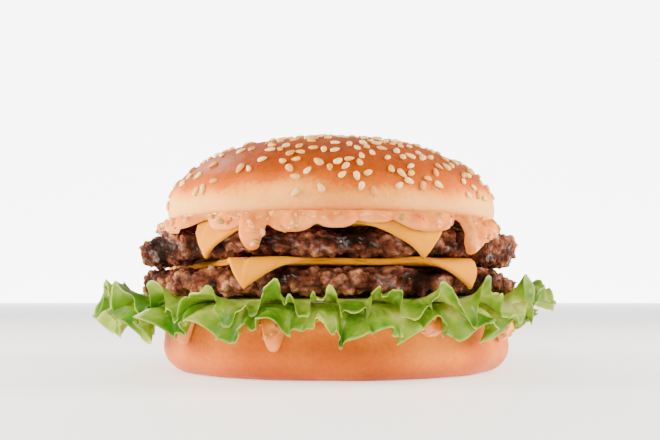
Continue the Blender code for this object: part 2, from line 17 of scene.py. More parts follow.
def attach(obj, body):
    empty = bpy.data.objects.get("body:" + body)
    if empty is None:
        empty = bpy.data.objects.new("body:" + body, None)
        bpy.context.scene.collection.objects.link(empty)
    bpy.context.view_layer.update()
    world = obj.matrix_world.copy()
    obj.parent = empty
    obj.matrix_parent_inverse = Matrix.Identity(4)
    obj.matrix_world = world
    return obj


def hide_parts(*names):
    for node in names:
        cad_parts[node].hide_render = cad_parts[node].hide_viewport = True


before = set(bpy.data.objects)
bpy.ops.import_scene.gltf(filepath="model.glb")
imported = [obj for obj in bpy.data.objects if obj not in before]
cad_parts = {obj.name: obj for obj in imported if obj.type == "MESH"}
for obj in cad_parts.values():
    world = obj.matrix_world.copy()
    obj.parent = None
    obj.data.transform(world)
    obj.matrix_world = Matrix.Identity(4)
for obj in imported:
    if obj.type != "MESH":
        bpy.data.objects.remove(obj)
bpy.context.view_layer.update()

MM = 0.001
TAU = 2 * math.pi
print("solids:", ", ".join(sorted(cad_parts)))

# %% [markdown]
# ## Tools for meshes
# Every layer is a stack of rings of points. A bun or a patty is a closed body: its rings run from the
# middle of its top, over the rim, to the middle of its underside. Cheese, sauce and lettuce are thin
# sheets: an upper and a lower stack of rings, split into the same triangles, so that their thickness
# stays even. Points can carry a number of their own, such as how deep in a crease they lie, which the
# materials read later.


# %% Rings into faces
def grid_quads(depth, count):
    """The quads between neighbouring rings, as numbers into the list of points."""
    k, i = np.meshgrid(np.arange(depth - 1), np.arange(count), indexing="ij")
    j = (i + 1) % count
    quads = np.stack([k * count + i, (k + 1) * count + i, (k + 1) * count + j, k * count + j], -1)
    return quads.reshape(-1, 4)


def fan(middle, start, count, flip):
    """Triangles from a middle point to the ring that starts at a given number."""
    i = np.arange(count)
    j = (i + 1) % count
    a, b = (j, i) if flip else (i, j)
    return np.stack([np.full(count, middle), start + a, start + b], -1)


# %% Points and faces into a piece
def add_piece(name, points, faces, numbers, node):
    """A smooth mesh from points in millimetres, in place of a solid of the frame."""
    mesh = bpy.data.meshes.new(name)
    mesh.from_pydata((points * MM).tolist(), [], faces)
    mesh.shade_smooth()
    for label, values in numbers.items():
        mesh.attributes.new(label, "FLOAT", "POINT").data.foreach_set("value", values.astype(np.float32))
    piece = bpy.data.objects.new(name, mesh)
    bpy.context.scene.collection.objects.link(piece)
    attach(piece, "root")
    if node:
        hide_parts(node)
    size = (points.max(0) - points.min(0)).round(1)
    print(f"{name}: {len(points)} points, {size[0]} x {size[1]} x {size[2]} mm")
    return piece


def turned_piece(name, rings, numbers, node):
    """A closed body from rings of shape (depth, count, 3), top first."""
    depth, count = rings.shape[:2]
    points = np.concatenate([rings.reshape(-1, 3), rings[0].mean(0)[None], rings[-1].mean(0)[None]])
    last = depth * count
    faces = grid_quads(depth, count).tolist()
    faces += fan(last, 0, count, flip=False).tolist()
    faces += fan(last + 1, last - count, count, flip=True).tolist()
    ends = {k: np.concatenate([v.reshape(-1), [v[0].mean(), v[-1].mean()]]) for k, v in numbers.items()}
    return add_piece(name, points, faces, ends, node)


def sheet_piece(name, upper, lower, numbers, node, ring=False):
    """A thin closed sheet. A ring has a hole in its middle, and anything else is a disc."""
    depth, count = upper.shape[:2]
    under = depth * count
    points = np.concatenate([upper.reshape(-1, 3), lower.reshape(-1, 3)])
    quads = grid_quads(depth, count)
    top = np.concatenate([quads[:, [0, 1, 2]], quads[:, [0, 2, 3]]])
    faces = [top, top[:, ::-1] + under]
    i = np.arange(count)
    j = (i + 1) % count
    edge = (depth - 1) * count
    faces.append(np.stack([edge + i, under + edge + i, under + edge + j], -1))
    faces.append(np.stack([edge + i, under + edge + j, edge + j], -1))
    values = {k: np.concatenate([v.reshape(-1), v.reshape(-1)]) for k, v in numbers.items()}
    if ring:
        faces.append(np.stack([i, j, under + j], -1))
        faces.append(np.stack([i, under + j, under + i], -1))
    else:
        middles = np.stack([upper[0].mean(0), lower[0].mean(0)])
        points = np.concatenate([points, middles])
        faces.append(fan(2 * under, 0, count, flip=False))
        faces.append(fan(2 * under + 1, under, count, flip=True))
        values = {k: np.concatenate([v, [v[0], v[0]]]) for k, v in values.items()}
    return add_piece(name, points, np.concatenate(faces).tolist(), values, node)


# %% [markdown]
# ## Tools for shapes
# The layers bend over one another, so most of them are described by two numbers: the direction
# around the burger, and the distance walked along the surface of the layer below. A path holds that
# surface as a line of points with its normals, and a place on it is read with `on_skin`.


# %% Directions and steps
def smoothstep(low, high, x):
    t = np.clip((x - low) / (high - low), 0, 1)
    return t * t * (3 - 2 * t)


def swing(angle, amounts):
    """A sum of waves around the burger, each given as (size, number of waves, phase)."""
    return sum(size * np.sin(turns * angle + phase) for size, turns, phase in amounts)


def around(count):
    return np.arange(count) * TAU / count


def away_from(degrees, angle):
    """The turn from a direction in degrees to each angle, the short way round."""
    return np.remainder(angle - math.radians(degrees) + math.pi, TAU) - math.pi


def round_points(radius, angle, z, centre_x=0.0):
    radius, angle, z = np.broadcast_arrays(radius, angle, z)
    return np.stack([centre_x + radius * np.cos(angle), radius * np.sin(angle), z], -1)


# %% Paths along a surface
def quarter(radius, height, round_size, start, end, steps, up):
    """Part of an ellipse at the edge of a profile, from one angle in degrees to another."""
    inwards, along = round_size
    turn = np.radians(np.linspace(start, end, steps + 1))
    z = np.sin(turn) * along
    return np.stack([radius - inwards + inwards * np.cos(turn), height + (z if up else -z)], 1)


def path_of(line):
    """A surface as a line of (radius, height) with the distance walked and the outward normal."""
    line = np.array(line, float)
    way = np.concatenate([[0], np.cumsum(np.linalg.norm(np.diff(line, axis=0), axis=1))])
    ahead = np.gradient(line, way, axis=0)
    normal = np.stack([-ahead[:, 1], ahead[:, 0]], 1)
    return way, line, normal / np.linalg.norm(normal, axis=1)[:, None]


def on_skin(path, along, offset, angle, outline, centre_x):
    """Points a given distance along a path, standing off it by an offset."""
    way, line, normal = path
    r, z = (np.interp(along, way, line[:, k]) for k in (0, 1))
    n_r, n_z = (np.interp(along, way, normal[:, k]) for k in (0, 1))
    size = np.hypot(n_r, n_z)
    return round_points(r * outline(angle) + offset * n_r / size, angle, z + offset * n_z / size, centre_x)


# %% Noise for crust, beef and leaves
def perlin(points, size, seed=0.0):
    """Smooth noise between about -0.5 and 0.5, with bumps of a size in millimetres."""
    flat = (points.reshape(-1, 3) / size + seed).tolist()
    return np.array([noise.noise(p) for p in flat]).reshape(points.shape[:-1])


def nearest_two(points, size, seed):
    """Distances to the two nearest of a field of scattered points, as shares of their spacing."""
    flat = (points.reshape(-1, 3) / size + seed).tolist()
    found = np.array([noise.voronoi(p)[0][:2] for p in flat]).reshape(*points.shape[:-1], 2)
    return found[..., 0], found[..., 1]


def lumps(points, size, seed=0.0):
    """1 on the middle of each lump, falling to 0 in the creases between them."""
    return 1 - np.minimum(nearest_two(points, size, seed)[0] / 0.8, 1) ** 2


def granules(points, size, seed=0.0):
    """Like lumps, but with a sharp crack where two of them meet."""
    first, second = nearest_two(points, size, seed)
    return (1 - np.minimum(first / 0.8, 1) ** 2) * np.clip((second - first) / 0.3, 0, 1) ** 0.5


# %% [markdown]
# ## Tools for finishes
# Colours are picked as sRGB hex values, as a paint chart gives them, and turned to the linear values
# that Blender's sockets take. One function adds a node with its settings and its links. A pattern's
# scale is worked out from the real distance between its features.


# %% Materials and nodes
def linear(code):
    """An sRGB hex colour as linear red, green, blue and alpha."""
    channels = [int(code[i : i + 2], 16) / 255 for i in (0, 2, 4)]
    return (*[c / 12.92 if c <= 0.04045 else ((c + 0.055) / 1.055) ** 2.4 for c in channels], 1.0)


def spaced(size):
    """The scale of a pattern whose features are this many millimetres apart."""
    return 1 / (size * MM)


def new_material(name, settings):
    """A material with these values on its shader's own sockets."""
    made = bpy.data.materials.new(name)
    made.use_nodes = True
    shader = made.node_tree.nodes["Principled BSDF"]
    for socket, value in settings.items():
        shader.inputs[socket].default_value = value
    return made, shader


def add_node(made, kind, settings, links=()):
    """Adds a node: settings are its own values or its sockets', links are (socket, where from)."""
    node = made.node_tree.nodes.new("ShaderNode" + kind)
    for key, value in settings.items():
        if key == "stops":
            ramp = node.color_ramp.elements
            while len(ramp) < len(value):
                ramp.new(0.5)
            for stop, (place, colour) in zip(ramp, value):
                stop.position = place
                stop.color = linear(colour) if isinstance(colour, str) else (colour, colour, colour, 1)
        elif isinstance(key, str) and hasattr(node, key):
            setattr(node, key, value)
        else:
            node.inputs[key].default_value = value
    for socket, source in links:
        made.node_tree.links.new(source, node.inputs[socket])
    return node


def link(made, source, socket):
    made.node_tree.links.new(source, socket)


def dress(made, *pieces):
    """Puts a finish on its pieces."""
    for piece in pieces:
        piece.data.materials.append(made)
    print(f"{made.name}: {len(made.node_tree.nodes)} nodes, on", ", ".join(piece.name for piece in pieces))


# %% [markdown]
# ## The heel
# The bottom half of the bun stands on the table. Its side is full, its foot is rounded where it met
# the baking sheet, and its cut edge at the top is soft. It is turned from a profile and given a
# gentle unevenness of a few tenths of a millimetre, as bread never is a perfect turning. A number
# called baked says how much heat each point has had: the foot most, the side near the cut least.

# %% Turning the heel
HEEL_RADIUS, HEEL_HEIGHT = 54.8, 18.4
HEEL_TOP_INSET = 0.5
HEEL_TOP_ROUND, HEEL_FOOT_ROUND = (5.0, 4.6), (7.6, 8.0)
BUN_ROUND = 260  # points in each ring of bread


def heel_outline(angle):
    return 1 + swing(angle, ((0.006, 2, 0.8), (0.004, 3, 2.1), (0.002, 5, 0.3)))


heel_top_z = HEEL_HEIGHT - HEEL_TOP_ROUND[1]
heel_side = np.concatenate(
    [
        [(0, HEEL_HEIGHT), (30, HEEL_HEIGHT)],
        quarter(HEEL_RADIUS - HEEL_TOP_INSET, heel_top_z, HEEL_TOP_ROUND, 90, 0, steps=24, up=True),
        quarter(HEEL_RADIUS, HEEL_FOOT_ROUND[1], HEEL_FOOT_ROUND, 0, 90, steps=24, up=False),
        [(30, 0), (0, 0)],
    ]
)
heel_path = path_of(heel_side)
bun_angle = around(BUN_ROUND)[None]
# Few rings lie on the flat faces, and many on the side.
heel_way = np.concatenate([[8, 20, 32, 42], np.linspace(46, 79, 54), [88, 100, 115, 126]])[:, None]
heel_rings = on_skin(heel_path, heel_way, 0, bun_angle, heel_outline, 0)
heel_out = on_skin(heel_path, heel_way, 1, bun_angle, heel_outline, 0) - heel_rings
heel_uneven = 0.5 * perlin(heel_rings, 16, seed=3.1)
heel_uneven = heel_uneven * smoothstep(52, 56, heel_way) * (1 - smoothstep(72, 77, heel_way))
heel_rings += heel_out * heel_uneven[..., None]
heel_rings[..., 2] = np.maximum(heel_rings[..., 2], 0)
heel_z = heel_rings[..., 2]
heel_baked = 0.48 - 0.22 * smoothstep(8, 17.5, heel_z) + 0.2 * (1 - smoothstep(0, 6, heel_z))
heel_baked = heel_baked + 0.22 * perlin(heel_rings, 14, seed=9.0)
heel = turned_piece("heel_bread", heel_rings, {"baked": heel_baked}, "bottom_bun")

# %% [markdown]
# ## The crown
# The top half is a dome with a squarer shoulder than an ellipse. Its lower edge is the pale band,
# which faced its neighbours in the tin, and its top browned most. Small dimples and swellings on
# the crust keep the highlight from looking machined.

# %% Turning the crown
CROWN_CENTRE_X, CROWN_RADIUS = -1.9, 52.6
CROWN_BASE_Z, CROWN_WAIST_Z, CROWN_TOP_Z = 46.4, 50.4, 73.4
CROWN_HEIGHT = CROWN_TOP_Z - CROWN_WAIST_Z
CROWN_SHOULDER = 2.4  # 2 would be an ellipse
CROWN_LIP_INSET, CROWN_LIP_ROUND = 0.1, (2.0, 2.2)


def crown_outline(angle):
    return 1 + swing(angle, ((0.006, 2, 2.6), (0.005, 3, 0.9), (0.002, 5, 1.7)))


def dome_line(turn):
    reach = np.maximum(np.cos(turn), 0) ** (2 / CROWN_SHOULDER)
    return np.stack([CROWN_RADIUS * reach, CROWN_WAIST_Z + CROWN_HEIGHT * np.sin(turn)], -1)


def crust_relief(points):
    """How far the crust stands off the plain dome, in millimetres."""
    return 0.55 * perlin(points, 19, seed=5.3) + 0.22 * perlin(points, 7, seed=1.7)


crown_lip_z = CROWN_BASE_Z + CROWN_LIP_ROUND[1]
crown_edge = CROWN_RADIUS - CROWN_LIP_INSET
crown_lip = quarter(crown_edge, crown_lip_z, CROWN_LIP_ROUND, 0, 90, steps=10, up=False)
crown_dome = dome_line(np.radians(np.linspace(90, 0, 90)))
crown_path = path_of(np.concatenate([crown_dome, crown_lip, [(30, CROWN_BASE_Z), (0, CROWN_BASE_Z)]]))
crown_far = crown_path[0][-1]
crown_way = np.concatenate([np.linspace(0.6, crown_far - 48, 84), crown_far - np.array([40, 25, 10])])
crown_way = crown_way[:, None]
crown_rings = on_skin(crown_path, crown_way, 0, bun_angle, crown_outline, CROWN_CENTRE_X)
crown_out = on_skin(crown_path, crown_way, 1, bun_angle, crown_outline, CROWN_CENTRE_X) - crown_rings
crown_keep = smoothstep(CROWN_BASE_Z + 0.5, CROWN_BASE_Z + 4, crown_rings[..., 2])
crown_rings += crown_out * (crust_relief(crown_rings) * crown_keep - 0.15)[..., None]

# %% Baking the crown
crown_z = crown_rings[..., 2]
crown_baked = 0.02 + 0.46 * smoothstep(47.8, 57.2, crown_z) + 0.34 * smoothstep(54, 62, crown_z)
# Painted highlight: the left and right flanks are made paler, standing in for the light of the side lamps.
crown_baked = crown_baked - 0.2 * np.cos(bun_angle) ** 2 * (1 - smoothstep(57, 68, crown_z))
crown_baked = crown_baked + 0.22 * perlin(crown_rings, 15, seed=2.0) * smoothstep(48, 55, crown_z)
crown = turned_piece("crown_bread", crown_rings, {"baked": crown_baked}, "top_bun")

# %% [markdown]
# ## Bun crust
# A burger bun is enriched bread, baked until the proteins and sugars at its surface brown, and
# brushed with egg wash. So the skin is a thin, slightly glossy film over soft crumb. It scatters
# light a little, browner places are smoother, and its fine wrinkles are drawn 1.6 mm wide, coarser
# than real ones, so that they show. A colour ramp turns the baked number into crust, with blotches
# of 11 mm and specks of 1.2 mm added to it. On the crown that number also holds a painted highlight,
# which makes the left and right flanks paler. The heel has a ramp of its own, as it baked more evenly.


# %% The crust's finish
def crust_finish(name, stops):
    made, shader = new_material(
        name,
        {
            "IOR": 1.45,  # starch and fat
            "Specular IOR Level": 0.14,
            "Specular Tint": linear("ffc080"),
            "Subsurface Weight": 0.05,
            "Subsurface Radius": (0.9, 0.45, 0.2),
            "Subsurface Scale": 2 * MM,
        },
    )
    place = add_node(made, "TexCoord", {}).outputs["Object"]
    baked = add_node(made, "Attribute", {"attribute_name": "baked"}).outputs["Fac"]
    blotch = add_node(
        made, "TexNoise", {"Scale": spaced(11), "Detail": 3.0, "Roughness": 0.55}, [("Vector", place)]
    )
    speck = add_node(
        made, "TexNoise", {"Scale": spaced(1.2), "Detail": 4.0, "Roughness": 0.7}, [("Vector", place)]
    )
    mottled = add_node(
        made, "Math", {"operation": "MULTIPLY_ADD", 1: 0.34}, [(0, blotch.outputs["Fac"]), (2, baked)]
    )
    speckled = add_node(
        made,
        "Math",
        {"operation": "MULTIPLY_ADD", 1: 0.3},
        [(0, speck.outputs["Fac"]), (2, mottled.outputs[0])],
    )
    # The two noises add 0.32 on average, which is taken off again.
    centred = add_node(made, "Math", {"operation": "SUBTRACT", 1: 0.32}, [(0, speckled.outputs[0])])
    colour = add_node(made, "ValToRGB", {"stops": stops}, [(0, centred.outputs[0])])
    link(made, colour.outputs["Color"], shader.inputs["Base Color"])
    wrinkle = add_node(
        made, "TexNoise", {"Scale": spaced(1.6), "Detail": 5.0, "Roughness": 0.62}, [("Vector", place)]
    )
    bump = add_node(
        made, "Bump", {"Strength": 0.5, "Distance": 0.5 * MM}, [("Height", wrinkle.outputs["Fac"])]
    )
    link(made, bump.outputs["Normal"], shader.inputs["Normal"])
    gloss = add_node(made, "MapRange", {"To Min": 0.56, "To Max": 0.36}, [("Value", baked)])
    link(made, gloss.outputs[0], shader.inputs["Roughness"])
    return made


crown_crust = crust_finish(
    "baked_bun_crust",
    [(0.0, "f4b45e"), (0.2, "ea9634"), (0.4, "c05a06"), (0.65, "9a4204"), (1.0, "782e04")],
)
heel_crust = crust_finish(
    "baked_heel_crust",
    [(0.0, "ee9c3a"), (0.3, "dc7a20"), (0.55, "be5a16"), (0.78, "a44610"), (1.0, "7c2c05")],
)
dress(crown_crust, crown)
dress(heel_crust, heel)

# %% [markdown]
# ## Sesame seeds
# A hulled sesame seed is a flat teardrop 3 to 3.3 mm long, 2 mm wide and about 1 mm thick, ivory
# with a warmer tip where it toasted. They are glued on by egg wash before baking, so they lie flat on
# the crust at any angle. The first series follows the seeds of the solid, the second is scattered
# between them from a seeded list of tries, each kept only where no seed lies yet.

# %% Places for the solid's own seeds
GOLDEN_ANGLE = math.pi * (3 - math.sqrt(5))
SEED_COUNT, SEED_LOWEST_Z, SEED_CROWDING = 60, 51.5, 0.66


def dome_place(share, angle):
    """A spot on the dome and its normal, a share of the way from the top to the lowest seeds."""
    lowest = math.asin((SEED_LOWEST_Z - CROWN_WAIST_Z) / CROWN_HEIGHT)
    turn = math.pi / 2 - (math.pi / 2 - lowest) * share
    reach = max(math.cos(turn), 1e-4) ** (2 / CROWN_SHOULDER)
    radius = CROWN_RADIUS * reach * float(crown_outline(angle))
    x, y = radius * math.cos(angle), radius * math.sin(angle)
    spot = Vector((CROWN_CENTRE_X + x, y, CROWN_WAIST_Z + CROWN_HEIGHT * math.sin(turn)))
    slope_r = CROWN_HEIGHT * reach ** (CROWN_SHOULDER - 1) * CROWN_SHOULDER / 2
    slope_z = CROWN_RADIUS * math.sin(turn)
    normal = Vector((slope_r * math.cos(angle), slope_r * math.sin(angle), slope_z)).normalized()
    return spot, normal


def seed_places():
    """Each seed as its spot, its normal, its turn and its size."""
    chance = random.Random(11)
    places = []
    for i in range(SEED_COUNT):
        share = ((i + 0.5) / SEED_COUNT) ** SEED_CROWDING + chance.uniform(-0.02, 0.02)
        angle = i * GOLDEN_ANGLE + chance.uniform(-0.10, 0.10)
        spot, normal = dome_place(min(max(share, 0.01), 1.0), angle)
        places.append((spot, normal, chance.uniform(0, TAU), chance.uniform(0.9, 1.1)))
    return places


# %% Places for the other seeds
MORE_SEEDS = 270
SEED_ROOM = 2.7  # closest that two seeds may lie, in millimetres
SEED_CLUSTER = 9  # size of a loose cluster of seeds, in millimetres
seeds = seed_places()
chance = random.Random(29)
while len(seeds) < SEED_COUNT + MORE_SEEDS:
    share, angle = chance.random() ** 0.72, chance.uniform(0, TAU)
    spot, normal = dome_place(share, angle)
    # They gather at the top and on the right of the front, in loose clusters.
    gathered = 0.45 + 1.7 * noise.noise(spot / SEED_CLUSTER) + 0.35 * math.cos(angle + 0.7)
    if chance.random() > gathered * (1.4 - 1.2 * share) + 0.03:
        continue
    if all((spot - other[0]).length > SEED_ROOM for other in seeds):
        seeds.append((spot, normal, chance.uniform(0, TAU), chance.uniform(0.82, 1.05)))
print(len(seeds), "sesame seeds")


# %% One mesh for all the seeds
SEED_LENGTH, SEED_WIDTH, SEED_THICKNESS = 3.3, 2.0, 1.3
SEED_LIFT = 0.12  # how far a seed's middle stands above the crust


def seed_shape(steps=9, count=10):
    """A teardrop as a grid of rings along its length, in millimetres."""
    t = np.linspace(0, np.pi, steps)
    along = -0.5 * np.cos(t)
    width = np.sin(t) ** 0.85 * (0.5 - 0.30 * along) * 0.98
    turn = around(count)
    x = np.repeat(along[:, None] * SEED_LENGTH, count, 1)
    y = width[:, None] * SEED_WIDTH * np.cos(turn)[None]
    z = width[:, None] * 0.92 * SEED_THICKNESS * np.sin(turn)[None]
    return np.stack([x, y, z], -1)


def seed_mesh(places):
    """Points and faces of all the seeds, with each seed's tone and the way towards its tip."""
    shape = seed_shape()
    depth, count = shape.shape[:2]
    flat = shape.reshape(-1, 3)
    quads = grid_quads(depth, count)
    points, faces, tone, tip = [], [], [], []
    tones = random.Random(5)
    for k, (spot, normal, turn, size) in enumerate(places):
        relief = float(crust_relief(np.array([spot]))[0])
        on_crust = np.array(spot) + np.array(normal) * (relief + SEED_LIFT)
        tilt = Matrix.Rotation(tones.uniform(-0.14, 0.14), 3, "Y")
        flat_on = normal.to_track_quat("Z", "Y").to_matrix()
        turned = np.array(flat_on @ Matrix.Rotation(turn, 3, "Z") @ tilt)
        stretch = np.array([size * tones.uniform(0.93, 1.05), size * tones.uniform(0.9, 1.06), size])
        points.append(flat * stretch @ turned.T + on_crust)
        faces.append(quads + k * len(flat))
        tone.append(np.full(len(flat), tones.random()))
        tip.append(np.repeat(np.linspace(0, 1, depth), count))
    return np.concatenate(points), np.concatenate(faces), np.concatenate(tone), np.concatenate(tip)


seed_points, seed_faces, seed_tone, seed_tip = seed_mesh(seeds)
seed_numbers = {"tone": seed_tone, "tip": seed_tip}
sesame = add_piece("sesame_seeds", seed_points, seed_faces.tolist(), seed_numbers, None)

# %% [markdown]
# ## Hulled sesame
# The seed's skin is waxy: fairly bright, slightly rough, and it lets light in a little. Each seed gets
# its own tone, from ivory to light straw, and its pointed tip is browner.

# %% The sesame finish
seed_finish, shader = new_material(
    "hulled_sesame",
    {
        "Roughness": 0.38,
        "IOR": 1.47,
        "Specular IOR Level": 0.25,
        "Subsurface Weight": 0.15,
        "Subsurface Radius": (0.6, 0.5, 0.3),
        "Subsurface Scale": 1 * MM,
    },
)
tone = add_node(seed_finish, "Attribute", {"attribute_name": "tone"}).outputs["Fac"]
tip = add_node(seed_finish, "Attribute", {"attribute_name": "tip"}).outputs["Fac"]
straw = add_node(
    seed_finish, "ValToRGB", {"stops": [(0.0, "f3d090"), (0.55, "e4b468"), (1.0, "c98f45")]}, [(0, tone)]
)
toasted = add_node(seed_finish, "ValToRGB", {"stops": [(0.55, 0.0), (1.0, 0.55)]}, [(0, tip)])
mixed = add_node(
    seed_finish,
    "Mix",
    {"data_type": "RGBA", 7: linear("c4802f")},
    [(0, toasted.outputs["Color"]), (6, straw.outputs["Color"])],
)
link(seed_finish, mixed.outputs[2], shader.inputs["Base Color"])
dress(seed_finish, sesame)

# %% [markdown]
# ## Beef patties
# Coarse minced beef is pressed into a disc and grilled. Its rim stays ragged: lumps about 9 mm across,
# made of granules of about 4 mm and of 2 mm, with deep creases between. The relief is made in layers
# of cell noise, and mostly inwards, so that the patty stays in its own space. The depth is kept on
# each point, and the finish paints shade into the creases from it; the marks that the bars of the
# grill left are kept as well. Where the cheese doesn't hold it up, the upper patty's rim sags a little.

# %% The beef's profile and outlines
PATTY_CENTRE_X, PATTY_RADIUS, PATTY_EDGE_ROUND = -2.6, 59.6, 5.2
PATTY_FLAT_RADIUS = PATTY_RADIUS - PATTY_EDGE_ROUND
PATTY_BLUNTNESS, PATTY_SAG = 0.78, 1.9
LOWER_PATTY_Z, UPPER_PATTY_Z = (23.0, 31.4), (33.8, 42.2)
PROFILE_FLAT = 46  # radius of the flat middle, which needs no points


def lower_patty_outline(angle):
    return 1 + swing(angle, ((0.008, 2, 0.5), (0.009, 3, 2.2), (0.011, 5, 0.7), (0.008, 9, 1.1)))


def upper_patty_outline(angle):
    return 1 + swing(angle, ((0.010, 2, 1.5), (0.008, 3, 5.1), (0.011, 5, 2.6), (0.009, 8, 4.0)))


def patty_profile(z_range, steps=40):
    low, high = z_range
    middle, half = (low + high) / 2, (high - low) / 2
    turn = np.pi * (0.5 - np.arange(steps + 1) / steps)
    out = np.maximum(np.cos(turn), 0) ** PATTY_BLUNTNESS
    up = np.copysign(np.abs(np.sin(turn)) ** PATTY_BLUNTNESS, turn)
    rim = np.stack([PATTY_FLAT_RADIUS + PATTY_EDGE_ROUND * out, middle + half * up], 1)
    return np.concatenate([[(0, high), (PROFILE_FLAT, high)], rim, [(PROFILE_FLAT, low), (0, low)]])


# %% Where the beef thins, and where a slice holds it up
LOWER_THINNING = ((-6, 20, 3.4),)  # direction and half width in degrees, depth in millimetres
UPPER_THINNING = ((-174, 20, 2.8), (80, 25, 1.5))
LOWER_SLICE = ((-23.0, -59.4), (41.4, -48.4), (36.0, 51.0), (-55.0, 25.0))


def thinner(thinning, angle, radius):
    """How much thinner the rim is in some directions."""
    drop = 0.0
    for degrees, half_width, depth in thinning:
        away = np.degrees(away_from(degrees, angle))
        drop = drop + depth * np.exp(-((away / half_width) ** 2))
    return drop * smoothstep(51, 59, radius)


def slice_sides(corners):
    """The sides of a slice of cheese as (outward normal, distance from the middle)."""
    sides = []
    for (ax, ay), (bx, by) in zip(corners, corners[1:] + corners[:1]):
        length = math.hypot(bx - ax, by - ay)
        n_x, n_y = (by - ay) / length, (ax - bx) / length
        sides.append((n_x, n_y, n_x * ax + n_y * ay))
    return sides


def outside_slice(corners, along, angle):
    """How far a place lies outside a slice, or a negative number inside it."""
    x, y = along * np.cos(angle), along * np.sin(angle)
    return np.max([n_x * x + n_y * y - far for n_x, n_y, far in slice_sides(corners)], axis=0)


# %% The beef's relief
LUMP_SIZE, LUMP_DEPTH = 9.5, 2.4
GRANULE_SIZE, GRANULE_DEPTH = 4.2, 1.35
GRAIN_SIZE, GRAIN_DEPTH = 1.9, 0.6
DEEPEST_CREASE = 3.9
BEEF_SWELL = 1.1  # how far the highest lumps stand off the plain rim
GRILL_BAR_SPACING = 19.0
PATTY_ROUND = 680  # points in each ring of beef


def beef_relief(plain, ragged, seed):
    """How deep each point lies under the highest lumps, in millimetres."""
    bent = plain + 1.6 * np.stack([perlin(plain, 3.5, seed + k) for k in (0.0, 7.0, 13.0)], -1)
    big = lumps(bent, LUMP_SIZE)
    granule = granules(bent, GRANULE_SIZE, seed)
    grain = granules(bent, GRAIN_SIZE, seed + 3)
    depth = LUMP_DEPTH * (1 - big) + GRANULE_DEPTH * (1 - granule) * (0.4 + 0.6 * big)
    return (depth + GRAIN_DEPTH * (1 - grain)) * (0.06 + 0.94 * ragged)


def grill_marks(plain, seed):
    """1 where a hot bar charred the beef, in broken stripes."""
    bars = np.sin((plain[..., 0] + 3 * perlin(plain, 18, seed)) * TAU / GRILL_BAR_SPACING)
    broken = smoothstep(-0.2, 0.2, perlin(plain, 13, seed + 5))
    return smoothstep(0.1, 0.9, bars + 0.8 * perlin(plain, 4, seed + 8)) * broken


def patty_piece(name, z_range, outline, sag, thinning, seed, node):
    path = path_of(patty_profile(z_range))
    far = path[0][-1]
    angle = around(PATTY_ROUND)[None]
    # Few rings lie on the flat faces, and many on the rim.
    way = np.concatenate([[12, 26, 38], np.linspace(45.5, far - 45.5, 84), far - np.array([38, 26, 12])])
    way = way[:, None]
    plain = on_skin(path, way, 0, angle, outline, PATTY_CENTRE_X)
    out = on_skin(path, way, 1, angle, outline, PATTY_CENTRE_X) - plain
    middle, half = sum(z_range) / 2, (z_range[1] - z_range[0]) / 2
    radius = np.hypot(plain[..., 0] - PATTY_CENTRE_X, plain[..., 1])
    rise = (plain[..., 2] - middle) / half
    beyond = smoothstep(2, 7, outside_slice(LOWER_SLICE, radius, angle)) * smoothstep(49, 53, radius)
    drop = sag * beyond * np.maximum(-rise, 0)
    plain[..., 2] -= drop + thinner(thinning, angle, radius) * np.maximum(rise, 0)
    ragged = smoothstep(44, 52, radius)
    depth = beef_relief(plain, ragged, seed)
    rings = plain + out * (BEEF_SWELL * ragged - depth)[..., None]
    # How deep each point lies in a crease, which the finish turns into painted shade.
    crease = np.clip(depth / DEEPEST_CREASE, 0, 1)
    numbers = {"crease": crease, "char": grill_marks(plain, seed) * ragged}
    return turned_piece(name, rings, numbers, node)


lower_beef = patty_piece(
    "lower_grilled_beef", LOWER_PATTY_Z, lower_patty_outline,
    sag=0.0, thinning=LOWER_THINNING, seed=21.0, node="lower_patty",
)
upper_beef = patty_piece(
    "upper_grilled_beef", UPPER_PATTY_Z, upper_patty_outline,
    sag=PATTY_SAG, thinning=UPPER_THINNING, seed=4.0, node="upper_patty",
)

# %% [markdown]
# ## Grilled beef
# Browned meat is a patchwork: brown where it seared, nearly black where it charred, and tan where fat
# and juices set. On top of that the creases are painted nearly black as painted shade, which leaves the
# tops of the lumps lighter. Rendered fat makes a thin wet film, so parts of it are glossy and parts are
# dry. The film is a coat with a smoother bump than the meat below it, because liquid fills the finest
# grain, and there is less of it on the char.

# %% The beef's colours
beef_finish, shader = new_material(
    "grilled_beef",
    {
        "IOR": 1.45,
        "Specular IOR Level": 0.12,
        "Specular Tint": linear("ffc8a0"),
        "Coat Roughness": 0.06,
        "Coat IOR": 1.5,  # set fat
    },
)
place = add_node(beef_finish, "TexCoord", {}).outputs["Object"]
crease = add_node(beef_finish, "Attribute", {"attribute_name": "crease"}).outputs["Fac"]
char = add_node(beef_finish, "Attribute", {"attribute_name": "char"}).outputs["Fac"]
sear = add_node(
    beef_finish, "TexNoise", {"Scale": spaced(5), "Detail": 4.0, "Roughness": 0.6}, [("Vector", place)]
)
fine = add_node(
    beef_finish, "TexNoise", {"Scale": spaced(1.3), "Detail": 5.0, "Roughness": 0.75}, [("Vector", place)]
)
level = add_node(
    beef_finish,
    "Math",
    {"operation": "MULTIPLY_ADD", 1: 0.9},
    [(0, sear.outputs["Fac"]), (2, fine.outputs["Fac"])],
)
# Painted shade: the deeper a point lies in a crease, the darker the ramp makes it.
height = add_node(
    beef_finish, "Math", {"operation": "MULTIPLY_ADD", 1: -0.95}, [(0, crease), (2, level.outputs[0])]
)
scorched = add_node(
    beef_finish, "Math", {"operation": "MULTIPLY_ADD", 1: -0.3}, [(0, char), (2, height.outputs[0])]
)
# The darkest stops serve both the char and the painted shade in the creases.
beef_browns = [(0.08, "150906"), (0.34, "361a11"), (0.53, "623524"), (0.72, "91583d"), (0.92, "c49770")]
browned = add_node(beef_finish, "ValToRGB", {"stops": beef_browns}, [(0, scorched.outputs[0])])
link(beef_finish, browned.outputs["Color"], shader.inputs["Base Color"])

